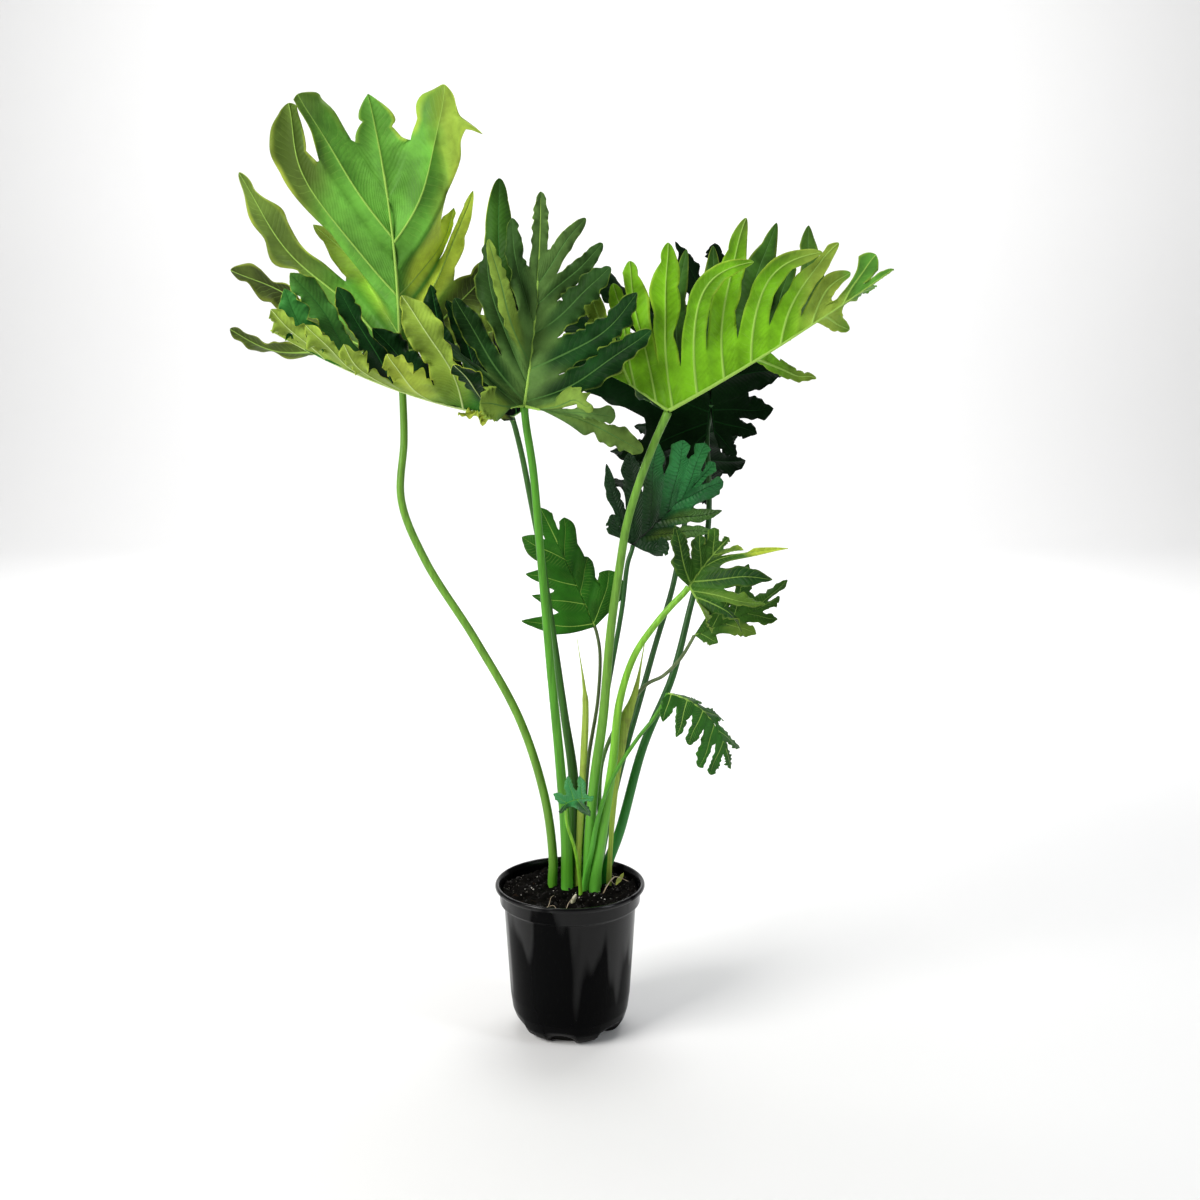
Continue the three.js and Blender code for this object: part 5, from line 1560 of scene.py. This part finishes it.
# Each leaf's colours: upper side, underside, margin, and the veins above and below, and
# what differs from the look above. A tint names a colour that takes over along a
# direction, between two distances in metres; tints_above are on the upper side alone.
# Some tints are painted light and shade, as marked below.
LEAF_LOOKS = {
    "tall_left": ("olive", "fresh", "straw", "dark_vein", "vein", {
        "margin": 0.55, "side": 0.25, "light": "butter", "dark": "moss",
        # The olive tint is painted shade on the far left lobes, in part their own olive colour
        "tints": (("olive", (-1, 0, 0), 0.29, 0.35), ("pale", (1, 0, 0), -0.185, -0.15)),
    }),
    "low_left": ("teal", "pale", "straw", "teal", "cream", {
        "margin": 0.8, "margin_from": 0.9, "side": 0.1, "specular": 0.06, "light": "straw",
        "tints": (("mid", (0.6, 0, -1), -0.97, -0.91),),
        # Painted shade: night darkens the upper side towards the crown's middle, and fern paints the top of
        # the tall lobe lighter over it
        "tints_above": (("night", (1, 0, 0), -0.29, -0.23), ("fern", (0, 0, 1), 0.96, 1.04)),
    }),
    "centre": ("grey_green", "grey_green", "pale", "dark_vein", "vein", {
        "margin": 0.8, "margin_from": 0.88, "side": 0.2, "specular": 0.03,
    }),
    "right": ("deep", "lime", "straw", "dark_vein", "vein", {
        "margin": 0.35, "dark": "fern",
        "tints": (("olive", (0.3, 0, 1), 1.06, 1.14), ("pale", (1, 0, 0), 0.25, 0.31),
                  ("fresh", (1, 0, 0), 0.33, 0.36)),
    }),
    # Painted shade: the shaded and rear leaves are near-black on both sides
    "shaded": ("dusk", "night", "night", "deep", "night", {
        "margin": 0.2, "side": 0.1, "specular": 0.03, "light": "deep",
    }),
    "rear": ("dusk", "night", "night", "deep", "night", {
        "margin": 0.2, "side": 0.1, "specular": 0.03,
    }),
    "small_left": ("mid", "mid", "olive", "vein", "vein", {"side": 0.4, "crease": 1.2}),
    "mid_right": ("jade", "deep", "mid", "deep", "night", {
        "side": 0.6, "specular": 0.25, "bump": 0.9, "pillow": 0.8, "crease": 1.3,
        # Painted light and shade: the part towards the hub goes deep green, the rest keeps the lighter jade
        "tints": (("deep", (-1, 0, -0.4), -0.44, -0.39),), "light": "olive",
    }),
    "pale_right": ("fern", "olive", "pale", "vein", "vein", {
        "margin": 0.5, "side": 0.5, "vein": 0.55, "crease": 1.3, "bump": 0.8,
        "tints": (("straw", (1, 0, 1), 0.87, 0.89),),
    }),
    "under_right": ("fern", "fern", "pale", "vein", "dark_vein", {
        "side": 0.5, "vein": 0.6, "crease": 1.3,
    }),
    "drooping": ("mid", "mid", "fresh", "vein", "vein", {
        "margin": 0.5, "side": 0.4, "specular": 0.2,
    }),
    "young": ("jade", "mid", "fresh", "fresh", "vein", {"specular": 0.3}),
}

# Each stalk's colour above, its colour at the foot, and how far up that goes
STALK_COLORS = {
    "tall_left": ("bright", "green", 0.3),
    # The low leaf's stalk is darker as painted shade
    "low_left": ("shady", "green", 0.3),
    "centre": ("green", "vivid", 0.2),
    "right": ("bright", "vivid", 0.5),
    "shaded": ("dark", "emerald", 0.5),
    "rear": ("dark", "emerald", 0.45),
    "small_left": ("muted", "vivid", 0.4),
    "mid_right": ("dark", "dark", 0.3),
    "pale_right": ("lime", "vivid", 0.5),
    "under_right": ("muted", "vivid", 0.5),
    "drooping": ("green", "vivid", 0.7),
    "young": ("lime", "lime", 0.5),
}


def dress(piece, node, slot, *finishes):
    """Gives a piece its materials, lets it ride on the frame and stand for its node"""
    for finish in finishes:
        piece.data.materials.append(finish)
    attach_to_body(piece, "root")
    if node:
        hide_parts(node)


class PHILODENDRON_OT_blades(bpy.types.Operator):
    """Make the leaf blades, with ruffled lobes, raised ribs and two differing sides"""

    bl_idname = "philodendron.blades"
    bl_label = "Leaf Blades"

    def execute(self, context):
        colors = context.scene.philodendron_leaves
        for name, leaf in LEAVES.items():
            upper, under, margin, vein_above, vein_below, shares = LEAF_LOOKS[name]
            look = {**BLADE_LOOK, **shares, "rough": colors.rough}
            look["spacing"] = colors.spacing * leaf["radius"] / FULL_STALK
            for key in ("tints", "tints_above"):
                look[key] = [(getattr(colors, tint), *rest) for tint, *rest in look[key]]
            for key in ("light", "dark"):
                look[key] = getattr(colors, look[key])
            piece = make_blade(name, leaf)
            sides = [blade_finish(f"{name}_{side}", getattr(colors, body), getattr(colors, margin),
                                  getattr(colors, vein), look, side == "under")
                     for side, body, vein in (("upper", upper, vein_above), ("under", under, vein_below))]
            dress(piece, f"blade_{name}", f"blade_{name}", *sides)
        return {"FINISHED"}


class PHILODENDRON_OT_stalks(bpy.types.Operator):
    """Make the leaf stalks from the soil up to the blades"""

    bl_idname = "philodendron.stalks"
    bl_label = "Stalks"

    def execute(self, context):
        colors = context.scene.philodendron_stalks
        for name, leaf in LEAVES.items():
            body, foot, foot_end = STALK_COLORS[name]
            finish = stalk_finish(f"{name}_stalk", getattr(colors, body), getattr(colors, foot), foot_end)
            dress(make_stalk(name, leaf), f"stalk_{name}", f"stalk_{name}", finish)
        return {"FINISHED"}


class PHILODENDRON_OT_sheaths(bpy.types.Operator):
    """Make the papery sheaths among the stalks"""

    bl_idname = "philodendron.sheaths"
    bl_label = "Sheaths"

    def execute(self, context):
        finish = sheath_finish("dry_sheath", context.scene.philodendron_stalks.sheath)
        for name, sheath in SHEATHS.items():
            dress(make_sheath(name, sheath), name, "sheath", finish)
        return {"FINISHED"}


class PHILODENDRON_OT_soil(bpy.types.Operator):
    """Make the soil and what lies on it: grains, crumbs, roots, a leaf scrap and a shoot"""

    bl_idname = "philodendron.soil"
    bl_label = "Soil"

    def execute(self, context):
        look = context.scene.philodendron_soil
        dress(make_soil(), "soil", "soil", soil_finish("moist_soil", look.soil))
        size = look.grain_size / MM
        white = make_grains("white_grains", look.grains, (0.45 * size, size), 11)
        dark = make_grains("bark_crumbs", look.crumbs, (1.2, 3.2), 12)
        for piece, finish, name, light, shadow in (
            (white, grain_finish, "white_mineral", (0.75, 0.74, 0.70), (0.4, 0.38, 0.34)),
            (dark, grain_finish, "dark_bark", (0.012, 0.008, 0.006), (0.003, 0.0025, 0.002)),
            (make_roots(), fibre_finish, "root_fibre", (0.55, 0.46, 0.32), (0.30, 0.22, 0.13)),
            (make_scrap(), fibre_finish, "yellow_scrap", (0.42, 0.48, 0.06), (0.25, 0.30, 0.04)),
            (make_shoot(), fibre_finish, "white_shoot", (0.65, 0.62, 0.48), (0.42, 0.42, 0.24)),
        ):
            dress(piece, None, "soil", finish(name, light, shadow))
        return {"FINISHED"}


class PHILODENDRON_OT_pot(bpy.types.Operator):
    """Make the glossy black nursery pot"""

    bl_idname = "philodendron.pot"
    bl_label = "Nursery Pot"

    def execute(self, context):
        look = context.scene.philodendron_pot
        dress(make_pot(), "pot", "pot", pot_finish("black_plastic", look.plastic, look.gloss))
        return {"FINISHED"}


# The studio, in metres but for the lens: the camera, the paper sweep's front edge, where
# it starts to rise, its bend's radius, its top and half its width
CAMERA_PLACE = (0.040, -2.000, 0.961)
CAMERA_PITCH = math.radians(10.6)
CAMERA_LENS = 47.31
PAPER_FRONT = -7.0
PAPER_BACK = 4.2
PAPER_BEND = 1.4
PAPER_TOP = 8.0
PAPER_HALF = 9.0

# Each softbox: its place, what it points at, its size and its colour
SOFTBOXES = {
    "key": ((-2.4, -1.8, 2.2), (0.0, 0.0, 0.55), (1.9, 2.1), (1.0, 0.985, 0.96)),
    "fill": ((2.4, -1.3, 1.5), (0.0, 0.0, 0.55), (0.6, 2.2), (0.92, 0.96, 1.0)),
    "top": ((0.3, 1.2, 3.0), (0.0, 0.0, 0.7), (2.4, 1.6), (1.0, 1.0, 1.0)),
    "wall": ((0.0, 2.2, 3.0), (0.0, 4.6, 0.9), (4.0, 1.0), (1.0, 1.0, 1.0)),
}


class PHILODENDRON_OT_stage(bpy.types.Operator):
    """Set up the paper sweep, the soft lights and the camera"""

    bl_idname = "philodendron.stage"
    bl_label = "Studio"

    def execute(self, context):
        scene = context.scene
        look = scene.philodendron_stage
        turn = np.linspace(0, math.pi / 2, 16)
        y = np.concatenate([[PAPER_FRONT], PAPER_BACK + PAPER_BEND * np.sin(turn), [PAPER_BACK + PAPER_BEND]])
        z = np.concatenate([[0.0], PAPER_BEND - PAPER_BEND * np.cos(turn), [PAPER_TOP]])
        x = np.repeat([-PAPER_HALF, PAPER_HALF], len(y))
        points = np.stack([x, np.tile(y, 2), np.tile(z, 2)], 1) / MM
        index = np.arange(2 * len(y)).reshape(2, -1)
        quads = np.stack([index[0, :-1], index[1, :-1], index[1, 1:], index[0, 1:]], -1)
        floor = to_mesh("paper_sweep", points, quads)
        floor.data.materials.append(floor_finish("studio_paper", look.paper))
        for name, (place, target, size, color) in SOFTBOXES.items():
            lamp = bpy.data.lights.new(f"{name}_softbox", "AREA")
            lamp.shape = "RECTANGLE"
            lamp.size, lamp.size_y = size
            lamp.energy = getattr(look, f"{name}_power")
            lamp.color = color
            holder = bpy.data.objects.new(f"{name}_softbox", lamp)
            holder.location = place
            holder.rotation_euler = (Vector(target) - Vector(place)).to_track_quat("-Z", "Y").to_euler()
            scene.collection.objects.link(holder)
        world = bpy.data.worlds.new("studio_air")
        world.use_nodes = True
        air = world.node_tree.nodes["Background"].inputs
        air["Color"].default_value = (1.0, 1.0, 1.0, 1.0)
        air["Strength"].default_value = look.sky
        scene.world = world
        scene.view_settings.view_transform = "Standard"
        lens = bpy.data.cameras.new("photo_camera")
        lens.lens = CAMERA_LENS
        lens.sensor_width = 36.0
        camera = bpy.data.objects.new("photo_camera", lens)
        camera.location = CAMERA_PLACE
        camera.rotation_euler = (math.pi / 2 - CAMERA_PITCH, 0.0, 0.0)
        scene.collection.objects.link(camera)
        scene.camera = camera
        return {"FINISHED"}


class PHILODENDRON_PT_panel(bpy.types.Panel):
    """Lists the plant's pieces in the sidebar"""

    bl_idname = "PHILODENDRON_PT_panel"
    bl_label = "Philodendron"
    bl_space_type = "VIEW_3D"
    bl_region_type = "UI"
    bl_category = "Philodendron"

    def draw(self, context):
        for operator in OPERATORS:
            self.layout.operator(operator.bl_idname)
        for key in SETTINGS:
            group = getattr(context.scene, key)
            box = self.layout.box()
            for name in group.__annotations__:
                box.prop(group, name)


SETTINGS = {
    "philodendron_leaves": PhilodendronLeafSettings,
    "philodendron_stalks": PhilodendronStalkSettings,
    "philodendron_soil": PhilodendronSoilSettings,
    "philodendron_pot": PhilodendronPotSettings,
    "philodendron_stage": PhilodendronStageSettings,
}
OPERATORS = (
    PHILODENDRON_OT_stage, PHILODENDRON_OT_pot, PHILODENDRON_OT_soil, PHILODENDRON_OT_stalks,
    PHILODENDRON_OT_sheaths, PHILODENDRON_OT_blades,
)


def register():
    for made in (*SETTINGS.values(), *OPERATORS, PHILODENDRON_PT_panel):
        bpy.utils.register_class(made)
    for key, group in SETTINGS.items():
        setattr(bpy.types.Scene, key, PointerProperty(type=group))


def unregister():
    for key in SETTINGS:
        delattr(bpy.types.Scene, key)
    for made in reversed((*SETTINGS.values(), *OPERATORS, PHILODENDRON_PT_panel)):
        bpy.utils.unregister_class(made)


def main():
    register()
    bpy.ops.philodendron.stage()
    bpy.ops.philodendron.pot()
    bpy.ops.philodendron.soil()
    bpy.ops.philodendron.stalks()
    bpy.ops.philodendron.sheaths()
    bpy.ops.philodendron.blades()
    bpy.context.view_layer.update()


if __name__ == "__main__":
    main()
